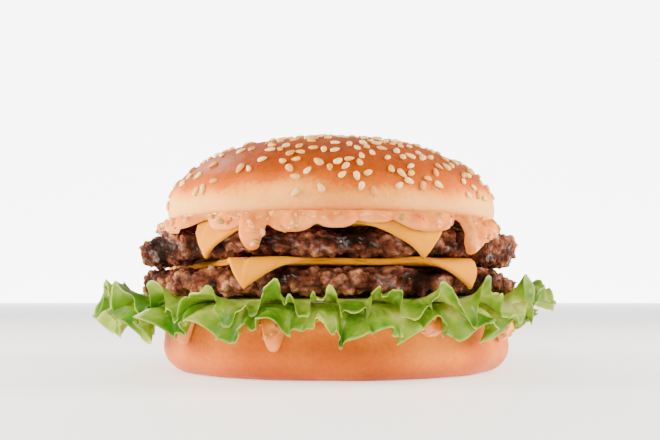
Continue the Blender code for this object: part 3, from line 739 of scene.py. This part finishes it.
# %% The beef's gloss and grain
wet = add_node(
    beef_finish, "TexNoise", {"Scale": spaced(3.4), "Detail": 5.0, "Roughness": 0.65}, [("Vector", place)]
)
dry = add_node(
    beef_finish,
    "MapRange",
    {"From Min": 0.35, "From Max": 0.65, "To Min": 0.7, "To Max": 0.4},
    [("Value", wet.outputs["Fac"])],
)
link(beef_finish, dry.outputs[0], shader.inputs["Roughness"])
fat = add_node(
    beef_finish,
    "MapRange",
    {"From Min": 0.52, "From Max": 0.58, "To Min": 0.0, "To Max": 0.9},
    [("Value", wet.outputs["Fac"])],
)
seared = add_node(beef_finish, "MapRange", {"To Min": 1.0, "To Max": 0.4}, [("Value", char)])
film = add_node(beef_finish, "Math", {"operation": "MULTIPLY"}, [(0, fat.outputs[0]), (1, seared.outputs[0])])
link(beef_finish, film.outputs[0], shader.inputs["Coat Weight"])
bump = add_node(
    beef_finish, "Bump", {"Strength": 1.0, "Distance": 1.2 * MM}, [("Height", fine.outputs["Fac"])]
)
link(beef_finish, bump.outputs["Normal"], shader.inputs["Normal"])
drops = add_node(beef_finish, "TexNoise", {"Scale": spaced(2.2), "Detail": 1.5}, [("Vector", place)])
wavy = add_node(
    beef_finish, "Bump", {"Strength": 0.9, "Distance": 0.9 * MM}, [("Height", drops.outputs["Fac"])]
)
link(beef_finish, wavy.outputs["Normal"], shader.inputs["Coat Normal"])
dress(beef_finish, lower_beef, upper_beef)

# %% [markdown]
# ## Cheese slices
# A slice of processed cheese is 1.8 mm thick and square. Laid on hot beef it sags: the middle stays
# flat, and the corners bend down over the rim. Each slice is made as polar rings that reach its four
# straight sides, draped along the patty's profile, with a rounded, slightly swollen edge.

# %% Draping the slices
GAP = 0.35  # kept between layers, so that no two solids touch
RIM_SLACK = 1.3
CHEESE_THICKNESS = 1.8
UPPER_SLICE = ((-37.2, -53.6), (27.8, -59.3), (57.0, 24.0), (-28.0, 58.0))
SLICE_ROUND = 300  # points in each ring of a slice
# How far inside the slice's edge each ring lies, in millimetres.
SLICE_RINGS = (36, 28, 20, 15, 12, 10, 8.6, 7.4, 6.4, 5.5, 4.7, 4, 3.4, 2.8, 2.3, 1.8, 1.4)
SLICE_EDGE_RINGS = (1.05, 0.75, 0.5, 0.3, 0.14, 0.04, 0)


def over_rim(along, flat_radius):
    """The room that a soft layer leaves as it bends over an edge."""
    return RIM_SLACK * smoothstep(flat_radius - 1, flat_radius + 3, along)


def slice_reach(corners, angle):
    """The distance from the middle to a slice's side in each direction."""
    found = []
    for n_x, n_y, far in slice_sides(corners):
        towards = n_x * np.cos(angle) + n_y * np.sin(angle)
        found.append(np.where(towards > 1e-6, far / np.maximum(towards, 1e-6), 1e9))
    return np.min(found, axis=0)


def angles_through(corners, count):
    """Even directions, with the nearest ones moved onto the slice's corners."""
    angle = around(count)
    for x, y in corners:
        corner = math.atan2(y, x) % TAU
        angle[np.argmin(np.abs(angle - corner))] = corner
    return angle


def cheese_piece(name, corners, z_range, outline, seed, node):
    path = path_of(patty_profile(z_range))
    angle = angles_through(corners, SLICE_ROUND)[None]
    inwards = np.array(SLICE_RINGS + SLICE_EDGE_RINGS)[:, None]
    along = slice_reach(corners, angle) - inwards
    place = round_points(along, angle, 0.0)
    swell = 0.25 * perlin(place, 11, seed) + 0.10 * perlin(place, 4, seed + 2)
    loose = smoothstep(PATTY_FLAT_RADIUS - 3, PATTY_FLAT_RADIUS + 3, along)
    lifted = 0.4 * loose * (0.5 + perlin(place, 9, seed + 5))
    under = GAP + over_rim(along, PATTY_FLAT_RADIUS) * 0.4 + lifted
    edge = np.sqrt(np.clip(1 - (1 - np.clip(inwards / 0.8, 0, 1)) ** 2, 0, 1))
    half = CHEESE_THICKNESS / 2 * (1 + 0.25 * loose * swell) * edge
    centre = under + CHEESE_THICKNESS / 2
    upper = on_skin(path, along, centre + half + swell * 0.4, angle, outline, PATTY_CENTRE_X)
    lower = on_skin(path, along, centre - half, angle, outline, PATTY_CENTRE_X)
    return sheet_piece(name, upper, lower, {}, node)


lower_slice = cheese_piece(
    "lower_melted_cheese", LOWER_SLICE, LOWER_PATTY_Z, lower_patty_outline, seed=2.0, node="lower_cheese"
)
upper_slice = cheese_piece(
    "upper_melted_cheese", UPPER_SLICE, UPPER_PATTY_Z, upper_patty_outline, seed=8.0, node="upper_cheese"
)

# %% [markdown]
# ## Melted cheese
# Melted processed cheese is an emulsion of fat and milk protein: an even yellow-orange, smooth, with
# a satin sheen and a soft glow at its thin edges, because light travels a few millimetres inside it.

# %% The cheese's finish
cheese_finish, shader = new_material(
    "melted_cheddar",
    {
        "Roughness": 0.34,
        "IOR": 1.45,
        "Specular IOR Level": 0.1,
        "Specular Tint": linear("ffc040"),
        "Subsurface Weight": 0.35,
        "Subsurface Radius": (1.0, 0.55, 0.12),
        "Subsurface Scale": 3 * MM,
    },
)
place = add_node(cheese_finish, "TexCoord", {}).outputs["Object"]
cloud = add_node(cheese_finish, "TexNoise", {"Scale": spaced(12), "Detail": 2.0}, [("Vector", place)])
cheese_yellows = [(0.3, "cb7f00"), (0.7, "da8f00")]
colour = add_node(cheese_finish, "ValToRGB", {"stops": cheese_yellows}, [(0, cloud.outputs["Fac"])])
link(cheese_finish, colour.outputs["Color"], shader.inputs["Base Color"])
ripple = add_node(cheese_finish, "TexNoise", {"Scale": spaced(3), "Detail": 2.0}, [("Vector", place)])
bump = add_node(
    cheese_finish, "Bump", {"Strength": 0.12, "Distance": 0.5 * MM}, [("Height", ripple.outputs["Fac"])]
)
link(cheese_finish, bump.outputs["Normal"], shader.inputs["Normal"])
dress(cheese_finish, lower_slice, upper_slice)

# %% [markdown]
# ## Sauce
# Burger sauce is mayonnaise coloured with tomato and mixed with chopped pickle. It is thick enough to
# stand in a bead of a few millimetres, so its free edge is round, and where there is too much of it,
# it runs down in drips with a heavy end. Each drip is a direction in degrees, half its width, and its
# length along the surface that it runs on.

# %% Where the sauce runs
UPPER_RUNS = {
    "reach": 53.9,
    "radius": 56,  # where the width of a drip is measured
    "waves": ((0.7, 1, math.pi), (1.3, 2, -math.pi / 2), (0.5, 5, -0.35), (0.3, 9, -1.57)),
    "drips": (
        (-135, 12.0, 59.6),
        (-118, 9.0, 60.2),
        (-109, 4.2, 63.8),
        (-99, 10.0, 60.6),
        (-88, 9.0, 60.0),
        (-78, 9.0, 59.2),
        (-64, 13.0, 60.4),
        (-48, 4.2, 64.6),
        (-40, 9.0, 61.0),
        (30, 4.6, 60.5),
        (66, 4.6, 62.0),
        (126, 5.0, 61.0),
    ),
}
LOWER_RUNS = {
    "reach": 51.0,
    "radius": HEEL_RADIUS,
    "waves": ((0.7, 7, 0.5), (0.5, 12, 2.0)),
    "drips": (
        (-141, 4.0, 61.2),
        (-108, 3.4, 62.4),
        (-98, 3.2, 56.2),
        (-62, 5.0, 58.6),
        (-29, 4.2, 60.8),
        (44, 4.2, 60.5),
        (112, 4.0, 58.5),
        (166, 3.8, 60.5),
    ),
}
NARROW_DRIP = 5.5  # a drip whose half width is less ends in a heavy drop


def drip_reach(runs, angle):
    """How far the sauce runs in each direction, and how near the middle of a drip that is."""
    base, middle = runs["reach"], 0.0
    reach = base + swing(angle, runs["waves"])
    for degrees, half_width, far in runs["drips"]:
        away = away_from(degrees, angle) * runs["radius"]
        share = np.exp(-(np.abs(away / half_width) ** 3))
        reach = np.maximum(reach, base + (far - base) * share)
        middle = np.maximum(middle, share * (half_width < NARROW_DRIP))
    return reach, middle


# %% How thick the sauce is
SAUCE_ROUND = 560  # points in each ring of sauce
SAUCE_INNER, SAUCE_HELD = 26.0, 40  # its hidden inner edge, and how far it lies plain
HEEL_BEND_RADIUS = 50.4  # where the heel starts to round off under the lower sauce
upper_room = CROWN_BASE_Z - UPPER_PATTY_Z[1] - GAP


def upper_under(along, angle):
    """The free space under the upper sauce: the slice, or the gap where there is none."""
    over_slice = 1 - smoothstep(4, 7, outside_slice(UPPER_SLICE, along, angle))
    rim = over_rim(along, PATTY_FLAT_RADIUS) * 0.5
    return GAP + rim + (CHEESE_THICKNESS + GAP) * over_slice


def upper_full(along, under):
    return np.maximum(upper_room - under, 1.0 + 1.5 * smoothstep(54.0, 57.0, along))


def lower_under(along, angle):
    return GAP + over_rim(along, HEEL_BEND_RADIUS) * 0.45


def lower_full(along, under):
    return 1.2 + 1.1 * smoothstep(51, 55, along)


def sauce_piece(name, path, outline, centre_x, runs, under_at, full_at, highest, seed, node):
    """A layer of sauce, and its upper skin. under_at gives the room below it, full_at its thickness."""
    angle = around(SAUCE_ROUND)[None]
    reach, middle = drip_reach(runs, angle)
    edge_rings = 1 - 0.16 * (1 - np.linspace(0.08, 1, 14)) ** 1.8
    share = np.concatenate([np.linspace(0, 0.84, 30), edge_rings])[:, None]
    inner = np.full((1, SAUCE_ROUND), SAUCE_INNER)
    along = np.concatenate([inner, SAUCE_HELD + (reach - SAUCE_HELD) * share])
    under = under_at(along, angle)
    left = reach - along
    place = on_skin(path, along, under, angle, outline, centre_x)
    free = smoothstep(48, 53, along)
    # Bits of relish under the surface make small bumps, and each drip ends in a heavy drop.
    relish = 1.1 * granules(place, 4.6, seed) ** 2 + 0.8 * perlin(place, 6.5, seed + 2)
    drop = 1.1 * smoothstep(0.55, 0.95, middle) * np.exp(-(((left - 2.6) / 2.4) ** 2))
    full = full_at(along, under) + (relish + drop - 0.2) * free
    roundness = 2.4 + 1.4 * middle
    bead = np.sqrt(np.clip(1 - (1 - np.clip(left / roundness, 0, 1)) ** 2.2, 0, 1))
    thickness = np.maximum(full, 0.8) * bead
    upper = on_skin(path, along, under + thickness, angle, outline, centre_x)
    lower = on_skin(path, along, under + 0.02 * (1 - bead), angle, outline, centre_x)
    # The crown's cut edge holds the sauce down where it comes out.
    held = np.maximum(highest + 0.25 * perlin(place, 5, seed + 8), lower[..., 2] + 0.3 * bead)
    upper[..., 2] = np.minimum(upper[..., 2], held)
    return sheet_piece(name, upper, lower, {}, node), upper


# %% Pouring the sauce
upper_dressing, upper_skin = sauce_piece(
    "upper_burger_sauce", path_of(patty_profile(UPPER_PATTY_Z)), upper_patty_outline, PATTY_CENTRE_X,
    UPPER_RUNS, upper_under, upper_full, highest=CROWN_BASE_Z - 0.2, seed=3.0, node="upper_sauce",
)
lower_dressing, lower_skin = sauce_piece(
    "lower_burger_sauce", heel_path, heel_outline, 0.0,
    LOWER_RUNS, lower_under, lower_full, highest=HEEL_HEIGHT + 2.0, seed=12.0, node="lower_sauce",
)

# %% [markdown]
# ## Tomato mayonnaise
# The sauce is an oil emulsion: opaque, peach-pink, very glossy, with a short glow under its surface.

# %% The sauce's finish
sauce_finish, shader = new_material(
    "tomato_mayonnaise",
    {
        "Roughness": 0.13,
        "IOR": 1.46,
        "Specular IOR Level": 0.5,
        "Subsurface Weight": 0.3,
        "Subsurface Radius": (1.0, 0.6, 0.4),
        "Subsurface Scale": 2 * MM,
    },
)
place = add_node(sauce_finish, "TexCoord", {}).outputs["Object"]
swirl = add_node(sauce_finish, "TexNoise", {"Scale": spaced(5), "Detail": 3.0}, [("Vector", place)])
sauce_pinks = [(0.3, "d6721e"), (0.55, "e8882c"), (0.8, "f4a448")]
colour = add_node(sauce_finish, "ValToRGB", {"stops": sauce_pinks}, [(0, swirl.outputs["Fac"])])
link(sauce_finish, colour.outputs["Color"], shader.inputs["Base Color"])
grainy = add_node(sauce_finish, "TexNoise", {"Scale": spaced(1.5), "Detail": 3.0}, [("Vector", place)])
bump = add_node(
    sauce_finish, "Bump", {"Strength": 0.25, "Distance": 0.4 * MM}, [("Height", grainy.outputs["Fac"])]
)
link(sauce_finish, bump.outputs["Normal"], shader.inputs["Normal"])
dress(sauce_finish, upper_dressing, lower_dressing)

# %% [markdown]
# ## Relish
# Chopped pickle, onion and red pepper, in bits of 1 to 3 mm, are stirred into the sauce. Those near
# its free edge show as lumps with a skin of sauce. Each bit is a small knobbly pebble, more than half
# sunk in the sauce at a place taken from the outer rings of its surface.

# %% Scattering the relish
BIT_STEPS, BIT_ROUND = 7, 9  # rings of a bit, and points in each
BIT_SMALLEST = 0.7
SUNK = np.array([0.997, 0.997, 1])  # moves a bit inwards, into the sauce


def bit_shape(chance, size):
    """A knobbly pebble as rings of points, wider one way than the other."""
    turn, tilt = around(BIT_ROUND)[None], np.linspace(0, np.pi, BIT_STEPS)[:, None]
    ball = np.stack([np.sin(tilt) * np.cos(turn), np.sin(tilt) * np.sin(turn), np.cos(tilt) + 0 * turn], -1)
    knobs = 1 + 0.5 * perlin(ball, 0.9, chance.uniform(0, 90))
    flattened = np.array([chance.uniform(0.6, 1.0), chance.uniform(0.4, 0.7), 0.4])
    return ball * knobs[..., None] * size * flattened


def relish_piece(name, skin, rings, lowest, highest, largest, count, seed):
    """Bits of relish between two heights, at places on the given rings of a sauce's skin."""
    chance = random.Random(seed)
    quads = grid_quads(BIT_STEPS, BIT_ROUND)
    each = BIT_STEPS * BIT_ROUND
    points, faces, kind = [], [], []
    while len(points) < count:
        k, i = chance.randrange(*rings), chance.randrange(skin.shape[1])
        place = skin[k, i] * SUNK
        if not lowest < place[2] < highest:
            continue
        turn = chance.uniform(0, TAU)
        axis = Vector([chance.uniform(-1, 1) for _ in range(3)])
        turned = np.array(Matrix.Rotation(turn, 3, axis))
        faces.append(quads + len(points) * each)
        bit = bit_shape(chance, chance.uniform(BIT_SMALLEST, largest))
        points.append((bit @ turned.T + place).reshape(-1, 3))
        kind.append(np.full(each, chance.random()))
    numbers = {"kind": np.concatenate(kind)}
    faces = np.concatenate(faces).tolist()
    return add_piece(name, np.concatenate(points), faces, numbers, None)


upper_relish = relish_piece(
    "upper_relish", upper_skin, rings=(24, 42), lowest=36.0, highest=45.2, largest=1.8, count=180, seed=3
)
lower_relish = relish_piece(
    "lower_relish", lower_skin, rings=(26, 42), lowest=11.5, highest=17.5, largest=1.4, count=60, seed=8
)

# %% [markdown]
# ## Chopped relish
# Pickled vegetables are wet and let light in. Most bits are coated in sauce and take its colour, some
# show pickle green or pepper red. Each bit has a random number, and a ramp without blending turns it
# into one of six colours.

# %% The relish's finish
relish_finish, shader = new_material(
    "chopped_relish",
    {
        "Roughness": 0.18,
        "IOR": 1.42,
        "Subsurface Weight": 0.3,
        "Subsurface Radius": (1.0, 0.7, 0.3),
        "Subsurface Scale": 1 * MM,
    },
)
kind = add_node(relish_finish, "Attribute", {"attribute_name": "kind"}).outputs["Fac"]
relish_colours = [
    (0.0, "f0a05c"),
    (0.42, "e28a3e"),
    (0.55, "c77c2c"),
    (0.72, "9c7a30"),
    (0.86, "f1c99a"),
    (0.95, "cf5a1c"),
]
colour = add_node(relish_finish, "ValToRGB", {"stops": relish_colours}, [(0, kind)])
colour.color_ramp.interpolation = "CONSTANT"
link(relish_finish, colour.outputs["Color"], shader.inputs["Base Color"])
dress(relish_finish, upper_relish, lower_relish)

# %% [markdown]
# ## Lettuce
# Green leaf lettuce grows faster at its margin than in its middle, so the margin has more length than
# it has room and buckles into folds, with smaller frills on the folds. Each leaf is held flat
# under the beef, then runs free as a skirt whose tip is further out and higher in some directions.
# The large folds are those of the solid. Two smaller waves near the margin add the frills, and the
# blade thins towards its edge.

# %% The skirt of each leaf
LEAF_CENTRE_X, LEAF_INNER_RADIUS, LEAF_FREE_RADIUS = -3.2, 38.0, 54.8
LEAF_FLAT_SHARE = 0.3  # of the way from the inner edge to the margin
LEAF_THICKNESS = 0.8
LOBE_BLEND = 0.15
# Each lobe is its direction, its half width in degrees, and its tip's radius and height.
LOWER_LEAF = {
    "height": 21.05,
    "reach": 65.0,
    "tip": 15.0,
    "lag": 0.9,
    "lobes": (
        (-168, 13, 71.0, 13.4),
        (-141, 9, 68.0, 13.6),
        (-114, 9, 68.0, 13.0),
        (-79, 10, 68.0, 12.2),
        (-61, 5, 62.0, 16.5),
        (-49, 7, 67.0, 13.5),
        (-29, 7, 62.0, 16.5),
        (-10, 13, 63.5, 15.5),
        (34, 14, 70.0, 14.0),
        (78, 13, 69.0, 13.0),
        (118, 12, 70.0, 13.0),
        (158, 12, 69.0, 13.5),
    ),
}
UPPER_LEAF = {
    "height": 22.3,
    "reach": 66.0,
    "tip": 21.3,
    "lag": 0.0,
    "lobes": (
        (-176, 11, 73.5, 23.5),
        (-155, 8, 70.0, 22.6),
        (-124, 9, 67.5, 22.0),
        (-98, 9, 67.5, 22.5),
        (-62, 9, 68.0, 22.0),
        (-34, 10, 68.5, 22.0),
        (-3, 10, 74.0, 23.5),
        (22, 10, 69.0, 21.5),
        (60, 12, 69.0, 22.5),
        (98, 12, 70.0, 21.5),
        (138, 12, 70.5, 22.5),
    ),
}


def lobe_tip(leaf, angle):
    """The radius and the height of the margin in each direction."""
    total, radius, height = 0.0, 0.0, 0.0
    for degrees, half_width, far, tip in leaf["lobes"]:
        away = np.degrees(away_from(degrees, angle))
        share = np.exp(-((away / half_width) ** 2))
        total, radius, height = total + share, radius + share * far, height + share * tip
    bare = np.maximum(1 - total, 0) + LOBE_BLEND
    total = total + bare
    return (radius + bare * leaf["reach"]) / total, (height + bare * leaf["tip"]) / total


def skirt(leaf, angle, out, free):
    """The leaf before it is folded: radius, height, and the blade's normal in both."""
    far, tip = lobe_tip(leaf, angle)
    start, base = LEAF_FREE_RADIUS, leaf["height"]
    bend = start + 0.5 * (far - start)
    r = (1 - free) ** 2 * start + 2 * free * (1 - free) * bend + free**2 * far
    held = LEAF_INNER_RADIUS + (start - LEAF_INNER_RADIUS) * out / LEAF_FLAT_SHARE
    z = (1 - free**2) * base + free**2 * tip
    t_r = (1 - free) * (bend - start) + free * (far - bend)
    t_z = free * (tip - base)
    length = np.hypot(t_r, t_z)
    return np.where(free == 0, held, r), z, -t_z / length, t_r / length


# %% The folds of the solid
LEAF_FOLDS, FOLD_HEIGHT, FOLD_LEAN, FOLD_SWAY = 23, 5.4, 0.45, 0.7
FOLD_SWINGS = ((-1.1, 2, 0.0), (0.55, 5, 0.6), (0.36, 9, 2.0), (0.16, 14, 4.0))
CALM_MIDDLE, CALM_HALF_WIDTH = 265, 13  # degrees in which the folds are lower, as in the photograph


def fold_phase(angle):
    return LEAF_FOLDS * angle + swing(angle, FOLD_SWINGS)


def fold_rate(angle):
    """How fast the phase grows with the angle."""
    rates = (size * turns * np.cos(turns * angle + phase) for size, turns, phase in FOLD_SWINGS)
    return LEAF_FOLDS + sum(rates)


def fold_size(angle, rate):
    """How large the folds are: tighter ones are lower."""
    size = np.sqrt(LEAF_FOLDS / rate) * (0.84 - 0.06 * np.sin(3 * angle + 1.0) + 0.1 * np.sin(7 * angle))
    return size * (1 - 0.28 * np.exp(-(((np.degrees(angle) - CALM_MIDDLE) / CALM_HALF_WIDTH) ** 2)))


def leaf_angles(count):
    """Directions that are close together where the folds are."""
    fine = np.linspace(0, TAU, 4000)
    way = fold_phase(fine) - fold_phase(0)
    return np.interp(np.arange(count) / count * way[-1], way, fine)


# %% Frills, blisters, notches and ribs
RIBS, FORKS = 23, 69


def frills(fold, angle, free, seed):
    """The lift and the lean of the small waves, more of them the nearer the margin, and their unrest."""
    rim_place = round_points(60 + 0 * angle, angle, 0.0)
    uneven = perlin(rim_place, 9, seed)
    strong = 0.6 + 1.1 * np.abs(perlin(rim_place, 13, seed + 3))
    frill = 2.6 * fold + 4.5 * uneven + 1.0
    ruffle = 5.7 * fold + 7 * uneven + 4.0
    lift = 2.0 * strong * free**3 * np.sin(frill) + 0.8 * strong * free**6 * np.sin(ruffle)
    lean = 0.2 * free**2 * np.sin(2 * frill) + 0.07 * free**5 * np.sin(2 * ruffle)
    return lift, lean, uneven


def veins(place, angle, free, seed):
    """1 on the ribs, which fan out from the middle and fork once on the way to the margin."""
    rib = np.abs(np.sin(RIBS / 2 * angle + 1.6 * perlin(place, 24, seed + 9)))
    fork = np.abs(np.sin(FORKS / 2 * angle + 3.0 * perlin(place, 16, seed + 11)))
    forked = 0.7 * (1 - fork / (0.22 * (1.2 - free))) * smoothstep(0.1, 0.5, free)
    return np.clip(np.maximum(1 - rib / (0.16 * (1.15 - free)), forked), 0, 1)


# %% The leaves
LEAF_ROUND = 860  # points in each ring of a leaf


def leaf_piece(name, leaf, seed, node):
    angle = leaf_angles(LEAF_ROUND)[None]
    out = np.concatenate([[0, 0.15, 0.28], np.linspace(0.32, 1, 36)])[:, None]
    free = np.maximum(out - LEAF_FLAT_SHARE, 0) / (1 - LEAF_FLAT_SHARE)
    r, z, n_r, n_z = skirt(leaf, angle, out, free)
    place = round_points(r, angle, z)
    fold, rate = fold_phase(angle), fold_rate(angle)
    grown = free**2 * fold_size(angle, rate)
    frill_lift, frill_lean, uneven = frills(fold, angle, free, seed)
    blister = 0.55 * (lumps(place, 3.6, seed) - 0.6) + 0.9 * perlin(place, 6, seed + 2)
    lift = FOLD_HEIGHT * grown * np.sin(fold + leaf["lag"] * free) + frill_lift
    lift = lift + blister * smoothstep(0.05, 0.3, free)
    lean = FOLD_LEAN * np.sin(2 * fold) - FOLD_SWAY * np.sin(3 * angle + 0.7) * np.sin(fold) + frill_lean
    notch = free**5 * (1.1 * perlin(place, 3.5, seed + 6) + 0.7 * np.sin(3.1 * fold + 2 * uneven))
    turn = angle - lean * grown / rate
    half = LEAF_THICKNESS / 2 * (1 - 0.62 * free)
    upper, lower = (
        round_points(r + notch + (lift + side) * n_r, turn, z + (lift + side) * n_z, LEAF_CENTRE_X)[::-1]
        for side in (half, -half)
    )
    numbers = {"vein": veins(place, angle, free, seed)[::-1], "free": (free + 0 * angle)[::-1]}
    return sheet_piece(name, lower, upper, numbers, node, ring=True)


lower_leaf = leaf_piece("lower_lettuce_leaf", LOWER_LEAF, seed=6.0, node="lettuce_lower_leaf")
upper_leaf = leaf_piece("upper_lettuce_leaf", UPPER_LEAF, seed=17.0, node="lettuce_upper_leaf")

# %% [markdown]
# ## Lettuce blade
# A leaf is thin enough that light from behind comes through it, more yellow than the light it
# reflects. So its finish is a glossy surface mixed with a translucent one, under the leaf's own wax.
# Ribs are paler and yellower than the blade, which is pale near the middle of the head and greener
# towards its edge, with a thin pale line along the margin itself. Its cells show as bumps of 2 mm.

# %% The greens of the lettuce
leaf_finish, shader = new_material(
    "green_leaf_lettuce",
    {
        "Roughness": 0.3,
        "IOR": 1.42,
        "Specular IOR Level": 0.5,
        "Coat Weight": 0.45,
        "Coat Roughness": 0.16,
        "Coat IOR": 1.45,  # plant wax
    },
)
place = add_node(leaf_finish, "TexCoord", {}).outputs["Object"]
free = add_node(leaf_finish, "Attribute", {"attribute_name": "free"}).outputs["Fac"]
vein = add_node(leaf_finish, "Attribute", {"attribute_name": "vein"}).outputs["Fac"]
patch = add_node(leaf_finish, "TexNoise", {"Scale": spaced(13), "Detail": 4.0}, [("Vector", place)])
outer = add_node(leaf_finish, "Math", {"operation": "MULTIPLY_ADD", 1: 0.4, 2: -0.46}, [(0, free)])
age = add_node(
    leaf_finish,
    "Math",
    {"operation": "MULTIPLY_ADD", 1: 1.9},
    [(0, patch.outputs["Fac"]), (2, outer.outputs[0])],
)
leaf_greens = [(0.28, "f0f0b0"), (0.48, "ccd866"), (0.7, "96b630"), (1.0, "508c10")]
blade_green = add_node(leaf_finish, "ValToRGB", {"stops": leaf_greens}, [(0, age.outputs[0])])
margin = add_node(leaf_finish, "ValToRGB", {"stops": [(0.96, 0.0), (1.0, 0.55)]}, [(0, free)])
green = add_node(
    leaf_finish,
    "Mix",
    {"data_type": "RGBA", 7: linear("c8d45c")},
    [(0, margin.outputs["Color"]), (6, blade_green.outputs["Color"])],
)
rib_amount = add_node(leaf_finish, "Math", {"operation": "MULTIPLY", 1: 0.6}, [(0, vein)])
ribbed = add_node(
    leaf_finish,
    "Mix",
    {"data_type": "RGBA", 7: linear("d3da84")},
    [(0, rib_amount.outputs[0]), (6, green.outputs[2])],
)
link(leaf_finish, ribbed.outputs[2], shader.inputs["Base Color"])

# %% The blade of the lettuce
cells = add_node(leaf_finish, "TexVoronoi", {"Scale": spaced(2.2)}, [("Vector", place)])
bump = add_node(
    leaf_finish, "Bump", {"Strength": 0.35, "Distance": 0.5 * MM}, [("Height", cells.outputs["Distance"])]
)
link(leaf_finish, bump.outputs["Normal"], shader.inputs["Normal"])
glow = add_node(
    leaf_finish, "BsdfTranslucent", {}, [("Color", ribbed.outputs[2]), ("Normal", bump.outputs["Normal"])]
)
blade = add_node(leaf_finish, "MixShader", {0: 0.35}, [(1, shader.outputs[0]), (2, glow.outputs[0])])
link(leaf_finish, blade.outputs[0], leaf_finish.node_tree.nodes["Material Output"].inputs["Surface"])
dress(leaf_finish, lower_leaf, upper_leaf)

# %% [markdown]
# ## Floor and backdrop
# The burger stands on a plain white table in front of lit white paper, as in a bright studio. The
# table glows a little and the paper strongly, so that both come out near white whatever the lamps
# do. The paper is left out of reflections, which keeps the wet places dark around their glints.


# %% The floor and the backdrop
def add_plain(name, corners, finish_name, roughness, glow):
    """A flat white rectangle for the stage."""
    mesh = bpy.data.meshes.new(name)
    mesh.from_pydata(corners, [], [(0, 1, 2, 3)])
    sheet = bpy.data.objects.new(name, mesh)
    bpy.context.scene.collection.objects.link(sheet)
    finish, _ = new_material(
        finish_name,
        {
            "Base Color": linear("f7f7f7"),
            "Roughness": roughness,
            "Emission Color": (1, 1, 1, 1),
            "Emission Strength": glow,
        },
    )
    mesh.materials.append(finish)
    return sheet


TABLE_REACH = 3.0  # metres, like the paper's sizes
PAPER_REACH, PAPER_BACK, PAPER_FOOT = 1.1, 1.6, -0.4
table_corners = [(x * TABLE_REACH, y * TABLE_REACH, 0) for x, y in ((-1, -1), (1, -1), (1, 1), (-1, 1))]
paper_corners = [
    (-PAPER_REACH, PAPER_BACK, PAPER_FOOT),
    (PAPER_REACH, PAPER_BACK, PAPER_FOOT),
    (PAPER_REACH, PAPER_BACK, PAPER_REACH),
    (-PAPER_REACH, PAPER_BACK, PAPER_REACH),
]
add_plain("floor", table_corners, "white_table", roughness=0.4, glow=0.9)
paper = add_plain("backdrop", paper_corners, "lit_white_paper", roughness=0.9, glow=6.0)
paper.visible_glossy = False

# %% [markdown]
# ## Light
# A large soft light stands above and in front, and a tall one at each side rims the bread. The side
# ones are left out of reflections, where they would wash over the crown and the sauce. Three small
# lamps give wet fat and sauce their glints, from whichever side they are seen.

# %% The lights
WARM = "fff0dc"
# Each one is its name, size, place and target in metres, power in watts, colour, and whether it glints.
LIGHTS = (
    ("front_softbox", (0.5, 0.4), (-0.1, -0.72, 0.34), (0, 0, 0.03), 2.6, "ffffff", True),
    ("key_light", (0.12, 0.12), (-0.2, -0.45, 0.42), (0, 0, 0.04), 1.1, WARM, True),
    ("side_key", (0.1, 0.1), (0.42, -0.4, 0.3), (0, 0, 0.04), 0.8, WARM, True),
    ("back_key", (0.12, 0.12), (-0.3, 0.4, 0.4), (0, 0, 0.04), 1.0, WARM, True),
    ("left_strip", (0.25, 0.32), (-0.5, -0.05, 0.13), (0, 0, 0.03), 11.0, WARM, False),
    ("right_strip", (0.25, 0.32), (0.5, 0.0, 0.21), (0, 0, 0.05), 9.2, WARM, False),
)
SKY_STRENGTH = 0.55


def add_light(name, size, place, target, power, colour, glints):
    lamp = bpy.data.lights.new(name, "AREA")
    lamp.shape = "RECTANGLE"
    lamp.size, lamp.size_y = size
    lamp.energy = power
    lamp.color = linear(colour)[:3]
    stand = bpy.data.objects.new(name, lamp)
    bpy.context.scene.collection.objects.link(stand)
    stand.location = place
    stand.rotation_euler = (Vector(target) - Vector(place)).to_track_quat("-Z", "Y").to_euler()
    stand.visible_glossy = glints


for light in LIGHTS:
    add_light(*light)
world = bpy.data.worlds.new("studio")
world.use_nodes = True
sky = world.node_tree.nodes["Background"]
sky.inputs["Color"].default_value = linear("ffffff")
sky.inputs["Strength"].default_value = SKY_STRENGTH
bpy.context.scene.world = world
print(len(LIGHTS), "lights")

# %% [markdown]
# ## Camera
# The camera is a third of a metre away and just above the table, and looks a little upwards, so the
# heel is seen from slightly above and the crown from below.

# %% The camera
LENS, SENSOR_WIDTH = 53.6, 36  # millimetres, as cameras give them
CAMERA_PLACE = (-1.96, -320, 25)  # millimetres
CAMERA_TILT = 4.08  # degrees above level

camera = bpy.data.objects.new("camera", bpy.data.cameras.new("camera"))
camera.data.lens = LENS
camera.data.sensor_width = SENSOR_WIDTH
camera.location = [v * MM for v in CAMERA_PLACE]
camera.rotation_euler = (math.radians(90 + CAMERA_TILT), 0, 0)
bpy.context.scene.collection.objects.link(camera)
bpy.context.scene.camera = camera
print("camera at", CAMERA_PLACE, "mm")
